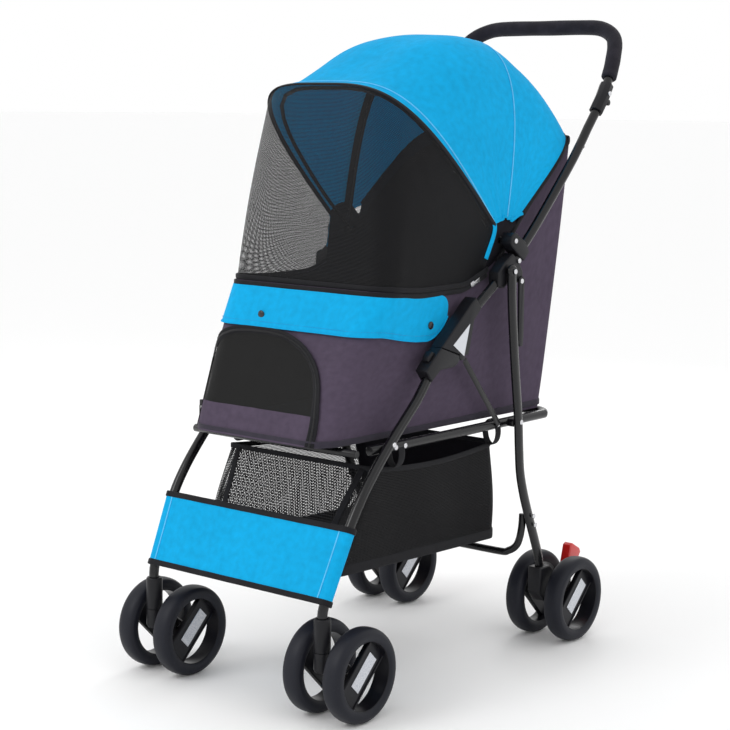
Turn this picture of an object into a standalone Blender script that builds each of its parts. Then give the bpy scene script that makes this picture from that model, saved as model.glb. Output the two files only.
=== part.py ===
"""Folding pet stroller: twin-wheel tube frame, mesh-fronted cabin, canopy on two bows and a net basket.

Run with: blender --background --python part.py
Metres, +Z up, floor at z = 0, front towards -Y, origin under the middle of the stroller's box.
"""
import math

import bpy
import bmesh
import numpy as np

# ---- driving dimensions -------------------------------------------------------------------
LENGTH = 0.826            # front tyre to the back of the grip
WHEEL_R = 0.070
WHEELBASE = 0.550
FRONT_TRACK = 0.1704      # middle of a front wheel pair from the centre plane
REAR_TRACK = 0.1735
PAIR_OFFSET = 0.0376      # each wheel from the middle of its pair
TYRE_HALF_WIDTH = 0.0159
CASTER_TRAIL = 0.039
FRAME_X = 0.1773          # side plane of the front legs and the handle tube
RAIL_X = 0.1618           # side plane of the seat rails
TUBE_R = 0.0075
GRIP_R = 0.0130
GAP = 0.0003              # running gap between touching pieces
SHELL = 0.0035            # wall of the soft parts' solids

FRONT_AXLE = (-LENGTH / 2 + WHEEL_R, WHEEL_R)
REAR_AXLE = (FRONT_AXLE[0] + WHEELBASE, WHEEL_R)
STEM_Y = FRONT_AXLE[0] - CASTER_TRAIL
GRIP_Y = LENGTH / 2 - GRIP_R
GRIP_Z = 1.0105

# pivots of the folding frame, as (y, z)
FOLD_KNEE = (-0.084, 0.503)     # front frame to handle frame
HUB = (0.032, 0.6235)           # handle frame to rear legs
SEAT_PIVOT = (0.072, 0.381)     # rear legs to seat frame
BRACE_PIVOT = (0.040, 0.3785)   # seat frame to the struts
CANOPY_PIVOT = (0.0509, 0.6692)
LATCH_PIVOT = (0.0640, 0.6060)
LATCH_X = 0.1908
PEDAL_PIVOT = (0.2330, 0.0900)

SEAT_Z = 0.378                  # middle of the seat rails
FLOOR_Z = 0.3870                # underside of the cabin

# side line of the front leg and of the handle tube, as (y, z)
LEG_LINE = [(STEM_Y, 0.118), (STEM_Y, 0.150), (-0.3775, 0.180), (-0.3330, 0.277),
            (-0.2860, 0.3413), (-0.2271, 0.4017), (-0.1799, 0.4450), (-0.1500, 0.4815)]
KNEE_ON_TUBE = (-0.1212, 0.5150)
HANDLE_LINE = [(-0.0800, 0.5440), (-0.0369, 0.5720), (0.0320, 0.6175), (0.0700, 0.6470),
               (0.1142, 0.6842), (0.2166, 0.7862), (0.2640, 0.8420), (0.3066, 0.8928)]
REAR_LEG_LINE = [HUB, (0.0340, 0.5788), (0.0520, 0.4780), SEAT_PIVOT, (0.0850, 0.3000),
                 (0.1080, 0.2400), (0.1400, 0.1750), (0.1580, 0.1320), (0.1600, 0.0950)]
REAR_LEG_TOP_X = 0.1950
LEG_HALF_WIDTH = 0.0056         # the rear legs are flattened tube
LEG_HALF_DEPTH = 0.0093


# ---- materials ----------------------------------------------------------------------------
def make_material(name, colour, roughness, metallic=0.0):
    material = bpy.data.materials.new(name)
    material.use_nodes = True
    shader = material.node_tree.nodes["Principled BSDF"]
    shader.inputs["Base Color"].default_value = (*colour, 1.0)
    shader.inputs["Roughness"].default_value = roughness
    shader.inputs["Metallic"].default_value = metallic
    return material


def start_scene():
    for item in list(bpy.data.objects):
        bpy.data.objects.remove(item, do_unlink=True)


# ---- curves and frames --------------------------------------------------------------------
def smooth_curve(points, steps=4):
    """Catmull-Rom curve through the points, with `steps` spans between each two."""
    pts = [np.array(p, float) for p in points]
    ends = [2 * pts[0] - pts[1]] + pts + [2 * pts[-1] - pts[-2]]
    curve = []
    for i in range(1, len(ends) - 2):
        a, b, c, d = ends[i - 1:i + 3]
        for k in range(steps):
            t = k / steps
            curve.append(0.5 * (2 * b + (c - a) * t + (2 * a - 5 * b + 4 * c - d) * t ** 2
                                + (3 * b - 3 * c + d - a) * t ** 3))
    curve.append(pts[-1])
    return curve


def evenly_spaced(line, count):
    """The same line with `count` points at equal distances along it."""
    travelled = [0.0]
    for a, b in zip(line, line[1:]):
        travelled.append(travelled[-1] + float(np.linalg.norm(b - a)))
    wanted = np.linspace(0, travelled[-1], count)
    columns = [np.interp(wanted, travelled, [p[i] for p in line]) for i in range(3)]
    return [np.array(p) for p in zip(*columns)]


def side_points(line, x):
    """Points (x, y, z) of a line given in the side plane."""
    return [(x, y, z) for y, z in line]


def path_frames(path):
    """Rotation-minimising (side, normal) vectors along a path; side starts along X."""
    tangents = []
    for i in range(len(path)):
        ahead = path[min(i + 1, len(path) - 1)]
        behind = path[max(i - 1, 0)]
        step = ahead - behind
        tangents.append(step / np.linalg.norm(step))
    side = np.array([1.0, 0.0, 0.0])
    frames = []
    for tangent in tangents:
        side = side - tangent * side.dot(tangent)
        side /= np.linalg.norm(side)
        frames.append((side, np.cross(tangent, side)))
    return frames


def ring_points(path, half_width, half_depth, sides):
    rings = []
    for centre, (side, normal) in zip(path, path_frames(path)):
        ring = []
        for k in range(sides):
            angle = 2 * math.pi * (k + 0.5) / sides
            ring.append(centre + side * half_width * math.cos(angle)
                        + normal * half_depth * math.sin(angle))
        rings.append(ring)
    return rings


# ---- mesh builders: each returns a bmesh with faces pointing out ---------------------------
def join_rings(bm, rings, closed_along=False):
    rows = [[bm.verts.new(p) for p in ring] for ring in rings]
    count = len(rows[0])
    last = len(rows) if closed_along else len(rows) - 1
    for i in range(last):
        upper = rows[(i + 1) % len(rows)]
        for k in range(count):
            bm.faces.new((rows[i][k], rows[i][(k + 1) % count], upper[(k + 1) % count], upper[k]))
    return rows


def outward(bm):
    bmesh.ops.recalc_face_normals(bm, faces=bm.faces[:])
    return bm


def rod(path, half_width, half_depth=None, sides=10):
    """Solid round or oval rod along a path."""
    bm = bmesh.new()
    rows = join_rings(bm, ring_points(path, half_width, half_depth or half_width, sides))
    bm.faces.new(rows[0][::-1])
    bm.faces.new(rows[-1])
    return outward(bm)


def bore(path, half_width, half_depth, sides, keep):
    """Cutter a running gap wider than a rod, along the stretch of its path that `keep` accepts."""
    first = path[0] - path[1]
    final = path[-1] - path[-2]
    longer = [path[0] + first / np.linalg.norm(first) * 0.001] + path
    longer += [path[-1] + final / np.linalg.norm(final) * 0.001]
    rings = ring_points(longer, half_width + GAP, half_depth + GAP, sides)
    kept = [ring for point, ring in zip(longer, rings) if keep(point)]
    bm = bmesh.new()
    rows = join_rings(bm, kept)
    bm.faces.new(rows[0][::-1])
    bm.faces.new(rows[-1])
    return outward(bm)


def hollow_rod(path, outer, inner, sides=12):
    """Sleeve around a path, open at both ends."""
    bm = bmesh.new()
    outside = join_rings(bm, ring_points(path, outer, outer, sides))
    inside = join_rings(bm, ring_points(path, inner, inner, sides))
    for k in range(sides):
        n = (k + 1) % sides
        for end in (0, -1):
            bm.faces.new((outside[end][k], outside[end][n], inside[end][n], inside[end][k]))
    return outward(bm)


def turned(profile, centre, axis="X", steps=24, closed=True):
    """Solid turned about an axis; profile is (along, radius), a closed loop or from axis to axis."""
    bm = bmesh.new()
    rows = []
    for along, radius in profile:
        count = steps if radius > 0 else 1
        row = []
        for k in range(count):
            angle = 2 * math.pi * k / steps
            a = radius * math.cos(angle)
            b = radius * math.sin(angle)
            offset = (along, a, b) if axis == "X" else (a, b, along)
            row.append(bm.verts.new([centre[i] + offset[i] for i in range(3)]))
        rows.append(row)
    spans = len(rows) if closed else len(rows) - 1
    for i in range(spans):
        low = rows[i]
        high = rows[(i + 1) % len(rows)]
        for k in range(steps):
            n = (k + 1) % steps
            corners = [low[k % len(low)], low[n % len(low)], high[n % len(high)], high[k % len(high)]]
            unique = list(dict.fromkeys(corners))
            if len(unique) > 2:
                bm.faces.new(unique)
    return outward(bm)


def cylinder(centre, radius, x0, x1, steps=16):
    """Plain round pin along X, from x0 to x1."""
    profile = [(x0, 0.0), (x0, radius), (x1, radius), (x1, 0.0)]
    return turned(profile, (0.0, centre[0], centre[1]), "X", steps, closed=False)


def prism(outline, x0, x1, bevel=0.0):
    """Outline in the side plane, extruded from x0 to x1, with its long edges rounded."""
    bm = bmesh.new()
    low = [bm.verts.new((x0, y, z)) for y, z in outline]
    high = [bm.verts.new((x1, y, z)) for y, z in outline]
    bm.faces.new(low[::-1])
    bm.faces.new(high)
    count = len(outline)
    for k in range(count):
        n = (k + 1) % count
        bm.faces.new((low[k], low[n], high[n], high[k]))
    outward(bm)
    if bevel:
        caps = [e for e in bm.edges if abs(e.verts[0].co.x - e.verts[1].co.x) < 1e-7]
        bmesh.ops.bevel(bm, geom=caps, offset=bevel, segments=1, affect="EDGES")
    return bm


def shell_between(outside, inside, wrap):
    """Closed wall between two equal grids of points; wrap joins the last column to the first."""
    bm = bmesh.new()
    out_rows = [[bm.verts.new(p) for p in row] for row in outside]
    in_rows = [[bm.verts.new(p) for p in row] for row in inside]
    count = len(out_rows[0])
    spans = count if wrap else count - 1
    for rows in (out_rows, in_rows):
        for i in range(len(rows) - 1):
            for k in range(spans):
                n = (k + 1) % count
                bm.faces.new((rows[i][k], rows[i][n], rows[i + 1][n], rows[i + 1][k]))
    for end in (0, -1):
        for k in range(spans):
            n = (k + 1) % count
            bm.faces.new((out_rows[end][k], out_rows[end][n], in_rows[end][n], in_rows[end][k]))
    if not wrap:
        for i in range(len(out_rows) - 1):
            for col in (0, -1):
                bm.faces.new((out_rows[i][col], out_rows[i + 1][col], in_rows[i + 1][col], in_rows[i][col]))
    return outward(bm)


def offset_grid(grid, distance, wrap):
    """Grid moved along its own normals; a positive distance moves to the left of row x column."""
    rows = len(grid)
    cols = len(grid[0])
    moved = []
    for i in range(rows):
        line = []
        for k in range(cols):
            down = np.array(grid[min(i + 1, rows - 1)][k]) - np.array(grid[max(i - 1, 0)][k])
            if wrap:
                along = np.array(grid[i][(k + 1) % cols]) - np.array(grid[i][k - 1])
            else:
                along = np.array(grid[i][min(k + 1, cols - 1)]) - np.array(grid[i][max(k - 1, 0)])
            normal = np.cross(down, along)
            normal /= np.linalg.norm(normal)
            line.append(np.array(grid[i][k]) + normal * distance)
        moved.append(line)
    return moved


def open_bag(rings, wall):
    """Bag with a floor: rings of points from the bottom up, wall thickness inwards."""
    bm = bmesh.new()
    outer_rows = join_rings(bm, rings)
    bm.faces.new(outer_rows[0])
    inner = []
    for i, ring in enumerate(rings):
        centre = np.mean(ring, axis=0)
        row = []
        for k, p in enumerate(ring):
            along = np.array(ring[(k + 1) % len(ring)]) - np.array(ring[k - 1])
            normal = np.array([-along[1], along[0], 0.0])
            normal /= np.linalg.norm(normal)
            if normal.dot(centre - p) < 0:
                normal = -normal
            lift = np.array([0, 0, wall]) if i == 0 else np.zeros(3)
            row.append(np.array(p) + normal * wall + lift)
        inner.append(row)
    inner_rows = join_rings(bm, inner)
    bm.faces.new(inner_rows[0])
    count = len(rings[0])
    for k in range(count):
        n = (k + 1) % count
        bm.faces.new((outer_rows[-1][k], outer_rows[-1][n], inner_rows[-1][n], inner_rows[-1][k]))
    return outward(bm)


# ---- objects ------------------------------------------------------------------------------
def add_piece(name, bm, material, origin=(0.0, 0.0, 0.0)):
    """One named node; its origin lies on its joint's axis."""
    bmesh.ops.translate(bm, verts=bm.verts[:], vec=[-c for c in origin])
    mesh = bpy.data.meshes.new(name)
    bm.to_mesh(mesh)
    bm.free()
    mesh.shade_smooth()
    mesh.set_sharp_from_angle(angle=math.radians(35))
    mesh.materials.append(material)
    piece = bpy.data.objects.new(name, mesh)
    piece.location = origin
    bpy.context.scene.collection.objects.link(piece)
    return piece


def combine(piece, tool_bm, operation):
    """Boolean of a piece with a helper solid, kept as a live modifier."""
    mesh = bpy.data.meshes.new("tool_" + piece.name)
    tool_bm.to_mesh(mesh)
    tool_bm.free()
    tool = bpy.data.objects.new("tool_%s_%d" % (piece.name, len(piece.modifiers)), mesh)
    tool.hide_render = True
    tool.display_type = "WIRE"
    bpy.context.scene.collection.objects.link(tool)
    modifier = piece.modifiers.new(operation.title(), "BOOLEAN")
    modifier.operation = operation
    modifier.solver = "EXACT"
    modifier.object = tool


def both_sides(build):
    """Runs a side's builder for the left (-1) and the right (+1)."""
    for tag, sign in (("left", -1), ("right", 1)):
        build(tag, sign)


# ---- wheels, casters and brakes -------------------------------------------------------------
WHEEL_STEPS = 20
RIM_OUTER = 0.0559
RIM_INNER = 0.0505
BAR_HALF_WIDTH = 0.021
AXLE_R = 0.0040
HOUSING_R = 0.0125
FORK_HALF = 0.0115


def wheel_meshes(rubber, plastic):
    """Tyre and rim meshes about the wheel's own middle, outer face at +X."""
    tyre = turned([(-0.0125, 0.0562), (-TYRE_HALF_WIDTH, 0.0610), (-0.0130, 0.0672), (-0.0060, WHEEL_R),
                   (0.0060, WHEEL_R), (0.0130, 0.0672), (TYRE_HALF_WIDTH, 0.0610), (0.0125, 0.0562)],
                  (0, 0, 0), "X", WHEEL_STEPS)
    tyre_piece = add_piece("tyre_pattern", tyre, rubber)
    ring = turned([(-0.0120, RIM_INNER), (-0.0120, RIM_OUTER), (0.0120, RIM_OUTER), (0.0120, RIM_INNER)],
                  (0, 0, 0), "X", WHEEL_STEPS)
    rim_piece = add_piece("rim_pattern", ring, plastic)
    slope = math.radians(45)
    reach = 0.0512
    corners = []
    for u, v in ((-reach, -BAR_HALF_WIDTH), (reach, -BAR_HALF_WIDTH), (reach, BAR_HALF_WIDTH),
                 (-reach, BAR_HALF_WIDTH)):
        corners.append((u * math.cos(slope) - v * math.sin(slope),
                        u * math.sin(slope) + v * math.cos(slope)))
    combine(rim_piece, prism(corners, -0.004, 0.004), "UNION")
    hub = turned([(-0.0135, AXLE_R + GAP), (-0.0135, 0.0120), (-0.0030, 0.0120), (-0.0030, AXLE_R + GAP)],
                 (0, 0, 0), "X", 16)
    combine(rim_piece, hub, "UNION")
    meshes = []
    for pattern in (tyre_piece, rim_piece):
        graph = bpy.context.evaluated_depsgraph_get()
        mesh = bpy.data.meshes.new_from_object(pattern.evaluated_get(graph))
        bm = bmesh.new()
        bm.from_mesh(mesh)
        bmesh.ops.triangulate(bm, faces=bm.faces)
        bm.to_mesh(mesh)
        bm.free()
        meshes.append(mesh)
        for modifier in list(pattern.modifiers):
            bpy.data.objects.remove(modifier.object, do_unlink=True)
        bpy.data.objects.remove(pattern, do_unlink=True)
    return meshes


def add_wheel(meshes, place, x, axle, faces_out):
    """A tyre and its rim at one end of an axle; faces_out is +1 where the outer face looks to +X."""
    for kind, mesh in zip(("tyre", "rim"), meshes):
        piece = bpy.data.objects.new("%s_%s" % (kind, place), mesh)
        piece.location = (x, axle[0], axle[1])
        if faces_out < 0:
            piece.rotation_euler = (0, 0, math.pi)
        bpy.context.scene.collection.objects.link(piece)


def build_wheels(rubber, plastic, steel):
    meshes = wheel_meshes(rubber, plastic)
    for end, track, axle in (("front", FRONT_TRACK, FRONT_AXLE), ("rear", REAR_TRACK, REAR_AXLE)):
        for tag, sign in (("left", -1), ("right", 1)):
            middle = sign * track
            for position, step in (("outer", sign), ("inner", -sign)):
                add_wheel(meshes, "%s_%s_%s" % (end, tag, position), middle + step * PAIR_OFFSET,
                          axle, step)
            reach = PAIR_OFFSET - 0.0040 - 2 * GAP
            pin = cylinder(axle, AXLE_R, middle - reach, middle + reach, 12)
            add_piece("axle_%s_%s" % (end, tag), pin, steel, (middle, *axle))


def build_caster(tag, sign, plastic):
    """Swivel housing on the leg, and the fork that turns in it and carries the axle."""
    x = sign * FRONT_TRACK
    centre = (x, STEM_Y, 0.0)
    housing = turned([(0.1550, TUBE_R + 2 * GAP), (0.1550, 0.0112), (0.1530, HOUSING_R), (0.1060, HOUSING_R),
                      (0.1060, 0.0046), (0.1150, 0.0046), (0.1150, TUBE_R + 2 * GAP)], centre, "Z", 16)
    add_piece("caster_housing_" + tag, housing, plastic, centre)

    fork = turned([(0.0760, 0.0), (0.0760, 0.0100), (0.0800, HOUSING_R), (0.1055, HOUSING_R),
                   (0.1055, 0.0041), (0.1140, 0.0041), (0.1140, 0.0)], centre, "Z", 16, closed=False)
    piece = add_piece("caster_fork_" + tag, fork, plastic, centre)
    arm = [(STEM_Y - 0.0060, 0.1000), (STEM_Y - 0.0060, 0.0775), (FRONT_AXLE[0] - 0.0100, 0.0570),
           (FRONT_AXLE[0] + 0.0060, 0.0570), (FRONT_AXLE[0] + 0.0125, 0.0650),
           (FRONT_AXLE[0] + 0.0125, 0.0760), (STEM_Y + 0.0110, 0.1050), (STEM_Y, 0.1050)]
    combine(piece, prism(arm, x - FORK_HALF, x + FORK_HALF, 0.002), "UNION")
    combine(piece, cylinder(FRONT_AXLE, AXLE_R + GAP, x - 0.02, x + 0.02), "DIFFERENCE")


def build_rear_housing(tag, sign, plastic, red):
    """Block at the foot of the rear leg, which carries the axle and the brake pedal's pivot."""
    x = sign * REAR_TRACK
    y, z = REAR_AXLE
    outline = [(0.1460, 0.1280), (0.1460, 0.0860), (0.1600, 0.0700), (y - 0.0080, z - 0.0130),
               (y + 0.0080, z - 0.0130), (y + 0.0240, z + 0.0030), (0.2400, 0.0840), (0.2400, 0.0960),
               (0.2300, 0.1000), (0.2050, 0.1020), (0.1740, 0.1280)]
    housing = add_piece("rear_wheel_housing_" + tag, prism(outline, x - 0.0130, x + 0.0130, 0.002),
                        plastic, (x, y, z))
    socket = bore(rear_leg_path(sign), LEG_HALF_WIDTH, LEG_HALF_DEPTH, 10, lambda p: p[2] < 0.160)
    combine(housing, socket, "DIFFERENCE")
    combine(housing, cylinder(REAR_AXLE, AXLE_R + GAP, x - 0.02, x + 0.02), "DIFFERENCE")
    slot = [(0.2235, 0.0800), (0.2500, 0.0700), (0.2500, 0.1100), (0.2235, 0.1100)]
    combine(housing, prism(slot, x - 0.0088, x + 0.0088), "DIFFERENCE")
    combine(housing, cylinder(PEDAL_PIVOT, 0.0026, x - 0.0105, x + 0.0105, 10), "UNION")

    py, pz = PEDAL_PIVOT
    knuckle = []
    for k in range(7):
        angle = math.radians(150 + 30 * k)
        knuckle.append((py + 0.0065 * math.cos(angle), pz + 0.0065 * math.sin(angle)))
    lever = knuckle + [(0.2560, 0.1050), (0.2735, 0.1320), (0.2700, 0.1390), (0.2480, 0.1510),
                       (0.2420, 0.1480), (0.2330, 0.1120)]
    pedal = add_piece("brake_pedal_" + tag, prism(lever, x - 0.0082, x + 0.0082, 0.0012), red,
                      (x, py, pz))
    combine(pedal, cylinder(PEDAL_PIVOT, 0.0026 + GAP, x - 0.02, x + 0.02, 10), "DIFFERENCE")


# ---- frame tubes ----------------------------------------------------------------------------
def rear_leg_points(sign):
    """The rear leg leans inwards from below the hub to the wheel housing."""
    top = REAR_LEG_LINE[1][1]
    foot = REAR_LEG_LINE[-1][1]
    points = []
    for y, z in REAR_LEG_LINE:
        lean = max(top - z, 0.0) / (top - foot)
        x = REAR_LEG_TOP_X + (REAR_TRACK - REAR_LEG_TOP_X) * lean
        points.append((sign * x, y, z))
    return points


def rear_leg_path(sign):
    return smooth_curve(rear_leg_points(sign), 2)


def leg_path(sign):
    return smooth_curve(leg_points(sign), 2)


def handle_path():
    return smooth_curve(handle_points(), 2)


def leg_points(sign):
    """The front leg stands a little closer in at its foot, over the caster."""
    points = []
    for y, z in LEG_LINE:
        spread = min(max((z - 0.150) / 0.130, 0.0), 1.0)
        points.append((sign * (FRONT_TRACK + (FRAME_X - FRONT_TRACK) * spread), y, z))
    return points


def handle_points():
    """The whole handle tube, from the left knee over the grip to the right knee."""
    right = side_points(HANDLE_LINE, FRAME_X)
    right += [(0.1700, 0.3372, 0.9280), (0.1630, 0.3600, 0.9610), (0.1480, 0.3840, 0.9900),
              (0.1180, 0.3970, 1.0065), (0.0800, GRIP_Y, GRIP_Z)]
    left = [(-x, y, z) for x, y, z in right]
    return left + [(0.0, GRIP_Y, GRIP_Z)] + right[::-1]


def build_front_leg(tag, sign, steel):
    add_piece("front_leg_" + tag, rod(leg_path(sign), TUBE_R, sides=8), steel,
              (sign * FRAME_X, *FOLD_KNEE))


def build_rear_leg(tag, sign, steel):
    """Flattened tube with a pressed round end at the hub, bored for its rivet."""
    leg = add_piece("rear_leg_" + tag, rod(rear_leg_path(sign), LEG_HALF_WIDTH, LEG_HALF_DEPTH, 10),
                    steel, (sign * REAR_LEG_TOP_X, *HUB))
    x = sign * REAR_LEG_TOP_X
    combine(leg, cylinder(HUB, 0.0110, x - LEG_HALF_WIDTH, x + LEG_HALF_WIDTH, 16), "UNION")
    combine(leg, cylinder(HUB, 0.0030 + GAP, x - 0.02, x + 0.02, 12), "DIFFERENCE")
    if sign > 0:
        y, z = LATCH_PIVOT
        lug = [(HUB[0] + 0.0060, z - 0.0075), (y + 0.0040, z - 0.0055), (y + 0.0070, z),
               (y + 0.0040, z + 0.0055), (HUB[0] + 0.0060, z + 0.0035)]
        combine(leg, prism(lug, LATCH_X + 0.0019, LATCH_X + 0.0045), "UNION")
        combine(leg, cylinder(LATCH_PIVOT, 0.0022, LATCH_X - 0.0018, LATCH_X + 0.0040, 10), "UNION")


def build_handle(steel, foam):
    add_piece("handle_tube", rod(handle_path(), TUBE_R, sides=8), steel, (0, *HUB))
    grip = [p for p in handle_path() if p[2] > 0.926]
    add_piece("handle_grip", hollow_rod(grip, GRIP_R, TUBE_R + GAP, 8), foam, (0, *HUB))


def knee_frame(d, n):
    """Point in the side plane: d along the tube and n towards its rear, from the knee."""
    direction = (0.770, 0.638)
    rear = (0.638, -0.770)
    return (KNEE_ON_TUBE[0] + d * direction[0] + n * rear[0],
            KNEE_ON_TUBE[1] + d * direction[1] + n * rear[1])


def handle_bore(sign, low, high):
    """Cutter for the handle tube between two heights on one side."""
    return bore(handle_path(), TUBE_R, TUBE_R, 8, lambda p: p[0] * sign > 0 and low < p[2] < high)


KNEE_HALF = 0.0115
KNEE_PIN_R = 0.0075


def build_knee(tag, sign, plastic):
    """Two jaws that meet across the tube and hinge at their rear corner, and the lock tab."""
    x = sign * FRAME_X
    low, high = x - KNEE_HALF, x + KNEE_HALF
    inner, outer = (low, high) if sign > 0 else (high, low)
    centre = (x, *FOLD_KNEE)
    seam = 0.0005
    upper = [knee_frame(-0.0078 + seam, -0.0125), knee_frame(0.0206 + seam, 0.0331),
             knee_frame(0.0320, 0.0425), knee_frame(0.0380, 0.0410), knee_frame(0.0760, 0.0125),
             knee_frame(0.1015, 0.0112), knee_frame(0.1015, -0.0112), knee_frame(0.0900, -0.0125)]
    lower = [knee_frame(-0.0078 - seam, -0.0125), knee_frame(0.0206 - seam, 0.0331),
             knee_frame(0.0030, 0.0350), knee_frame(-0.0050, 0.0320), knee_frame(-0.0300, 0.0125),
             knee_frame(-0.0564, 0.0108), knee_frame(-0.0564, -0.0108), knee_frame(-0.0400, -0.0125)]
    clear_r = KNEE_PIN_R + 0.0010
    jaw = add_piece("lower_knee_" + tag, prism(lower, low, high, 0.0015), plastic, centre)
    combine(jaw, cylinder(FOLD_KNEE, KNEE_PIN_R, low, high, 16), "UNION")
    combine(jaw, cylinder(FOLD_KNEE, clear_r, *sorted((x - sign * GAP, outer + sign * 0.002)), 16),
            "DIFFERENCE")
    combine(jaw, bore(leg_path(sign), TUBE_R, TUBE_R, 8, lambda p: p[2] > 0.42), "DIFFERENCE")

    sleeve = add_piece("upper_knee_" + tag, prism(upper, low, high, 0.0015), plastic, centre)
    combine(sleeve, cylinder(FOLD_KNEE, KNEE_PIN_R, low, high, 16), "UNION")
    combine(sleeve, cylinder(FOLD_KNEE, clear_r, *sorted((x + sign * GAP, inner - sign * 0.002)), 16),
            "DIFFERENCE")
    combine(sleeve, handle_bore(sign, 0.50, 0.62), "DIFFERENCE")

    tab = [knee_frame(-0.0400, -0.0129), knee_frame(-0.0400, -0.0165), knee_frame(-0.0340, -0.0200),
           knee_frame(-0.0240, -0.0200), knee_frame(-0.0200, -0.0129)]
    add_piece("lock_tab_" + tag, prism(tab, x - 0.0060, x + 0.0060, 0.0008), plastic,
              (x, *knee_frame(-0.0300, -0.0150)))


HUB_HALF = 0.0106


def build_hub(tag, sign, plastic):
    """Collar round the handle tube, with the rivet that the rear leg turns on."""
    x = sign * FRAME_X
    around = [(0.0080, 0.6010), (0.0080, 0.6220), (0.0250, 0.6370), (0.0460, 0.6500), (0.0600, 0.6400),
              (0.0740, 0.6200), (0.0720, 0.6050), (0.0580, 0.6030), (0.0400, 0.6080), (0.0240, 0.5970)]
    hub = add_piece("hub_" + tag, prism(around, x - HUB_HALF, x + HUB_HALF, 0.002), plastic, (x, *HUB))
    combine(hub, handle_bore(sign, 0.55, 0.72), "DIFFERENCE")
    pin = sorted((x + sign * 0.0100, sign * (REAR_LEG_TOP_X + 0.0068)))
    combine(hub, cylinder(HUB, 0.0030, *pin, 12), "UNION")


def build_canopy_bracket(tag, sign, plastic):
    """Clip on the handle tube with the round pivot that both canopy bows turn on."""
    x = sign * FRAME_X
    cy, cz = CANOPY_PIVOT
    outline = []
    for k in range(9):
        angle = math.radians(35 + 22.5 * k)
        outline.append((cy + 0.0125 * math.cos(angle), cz + 0.0125 * math.sin(angle)))
    outline += [(0.0630, 0.6450), (0.0760, 0.6370), (0.0900, 0.6500), (0.0800, 0.6660)]
    piece = add_piece("canopy_bracket_" + tag, prism(outline, x - 0.0108, x + 0.0108, 0.0015),
                      plastic, (x, cy, cz))
    combine(piece, handle_bore(sign, 0.58, 0.76), "DIFFERENCE")
    pin = sorted((x - sign * 0.0100, sign * 0.1380))
    combine(piece, cylinder(CANOPY_PIVOT, 0.0028, *pin, 12), "UNION")


def build_seat_frame(steel):
    """Welded seat frame: both rails and the rear bar in one bent tube, with a front cross bar."""
    front = -0.2700
    bend = 0.030
    rear = 0.2000
    right = [(RAIL_X, front, SEAT_Z + 0.0010), (RAIL_X, -0.15, SEAT_Z), (RAIL_X, 0.05, SEAT_Z),
             (RAIL_X, rear - bend, SEAT_Z), (RAIL_X - bend * 0.29, rear - bend * 0.29, SEAT_Z),
             (RAIL_X - bend, rear, SEAT_Z)]
    left = [(-px, py, pz) for px, py, pz in right]
    path = smooth_curve(left + [(0, rear, SEAT_Z)] + right[::-1], 2)
    frame = add_piece("seat_frame", rod(path, TUBE_R, sides=8), steel, (0, *SEAT_PIVOT))
    combine(frame, cylinder((-0.2620, SEAT_Z), 0.0068, -RAIL_X, RAIL_X, 10), "UNION")
    for sign in (-1, 1):
        boss = sorted((sign * (RAIL_X + 0.003), sign * 0.1785))
        combine(frame, cylinder((SEAT_PIVOT[0], SEAT_Z), 0.0060, *boss, 12), "UNION")


def build_brace(tag, sign, steel):
    """Flat strut from the seat rail up to the knee's wing."""
    y, z = BRACE_PIVOT
    top = (-0.0560, 0.4920)
    dy, dz = top[0] - y, top[1] - z
    size = math.hypot(dy, dz)
    ny, nz = -dz / size * 0.0055, dy / size * 0.0055
    outline = [(y + ny, z + nz), (y - ny, z - nz), (top[0] - ny, top[1] - nz), (top[0] + ny, top[1] + nz)]
    x0, x1 = sorted((sign * 0.1700, sign * 0.1730))
    add_piece("brace_" + tag, prism(outline, x0, x1, 0.002), steel, (sign * 0.1715, y, z))


def build_front_bar(steel):
    """Cross bar that holds the front legs apart behind the apron."""
    y, z = -0.3680, 0.2020
    reach = FRONT_TRACK - TUBE_R - 0.0010
    add_piece("front_cross_bar", cylinder((y, z), 0.0060, -reach, reach, 12), steel, (0, y, z))


def build_basket_tube(steel):
    """Bent tube under the rear legs that carries the basket's back edge."""
    right = [(0.1660, 0.1200, 0.2200), (0.1655, 0.1180, 0.1950), (0.1600, 0.1150, 0.1700),
             (0.1440, 0.1120, 0.1570), (0.1200, 0.1110, 0.1540)]
    left = [(-x, y, z) for x, y, z in right]
    path = smooth_curve(left + [(0, 0.1110, 0.1540)] + right[::-1], 2)
    add_piece("basket_tube", rod(path, 0.0060, sides=8), steel, (0, 0.1110, 0.1540))


def build_latch(plastic):
    """Hook that hangs from the right rear leg and holds the folded frame together."""
    x0, x1 = LATCH_X - 0.0014, LATCH_X + 0.0014
    y, z = LATCH_PIVOT
    outline = [(y - 0.0070, z + 0.0040), (y - 0.0060, z - 0.0300), (y - 0.0050, z - 0.0950),
               (y - 0.0020, z - 0.1030), (y + 0.0060, z - 0.1030), (y + 0.0080, z - 0.0900),
               (y + 0.0080, z - 0.0300), (y + 0.0075, z + 0.0040), (y, z + 0.0085)]
    strap = add_piece("latch_strap", prism(outline, x0, x1), plastic, (LATCH_X, y, z))
    combine(strap, cylinder(LATCH_PIVOT, 0.0022 + GAP, x0 - 0.002, x1 + 0.002, 10), "DIFFERENCE")


def build_handle_clamp(tag, sign, plastic):
    """Collar below the grip, with the screw boss behind the tube."""
    span = [p for p in handle_path() if p[0] * sign > 0 and 0.868 < p[2] < 0.915]
    piece = add_piece("handle_clamp_" + tag, hollow_rod(span, 0.0118, TUBE_R + GAP, 8), plastic,
                      tuple(span[len(span) // 2]))
    middle = span[len(span) // 2]
    boss = cylinder((middle[1] + 0.0105, middle[2] - 0.0090), 0.0050, middle[0] - 0.0060,
                    middle[0] + 0.0060, 12)
    combine(piece, boss, "UNION")


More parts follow.
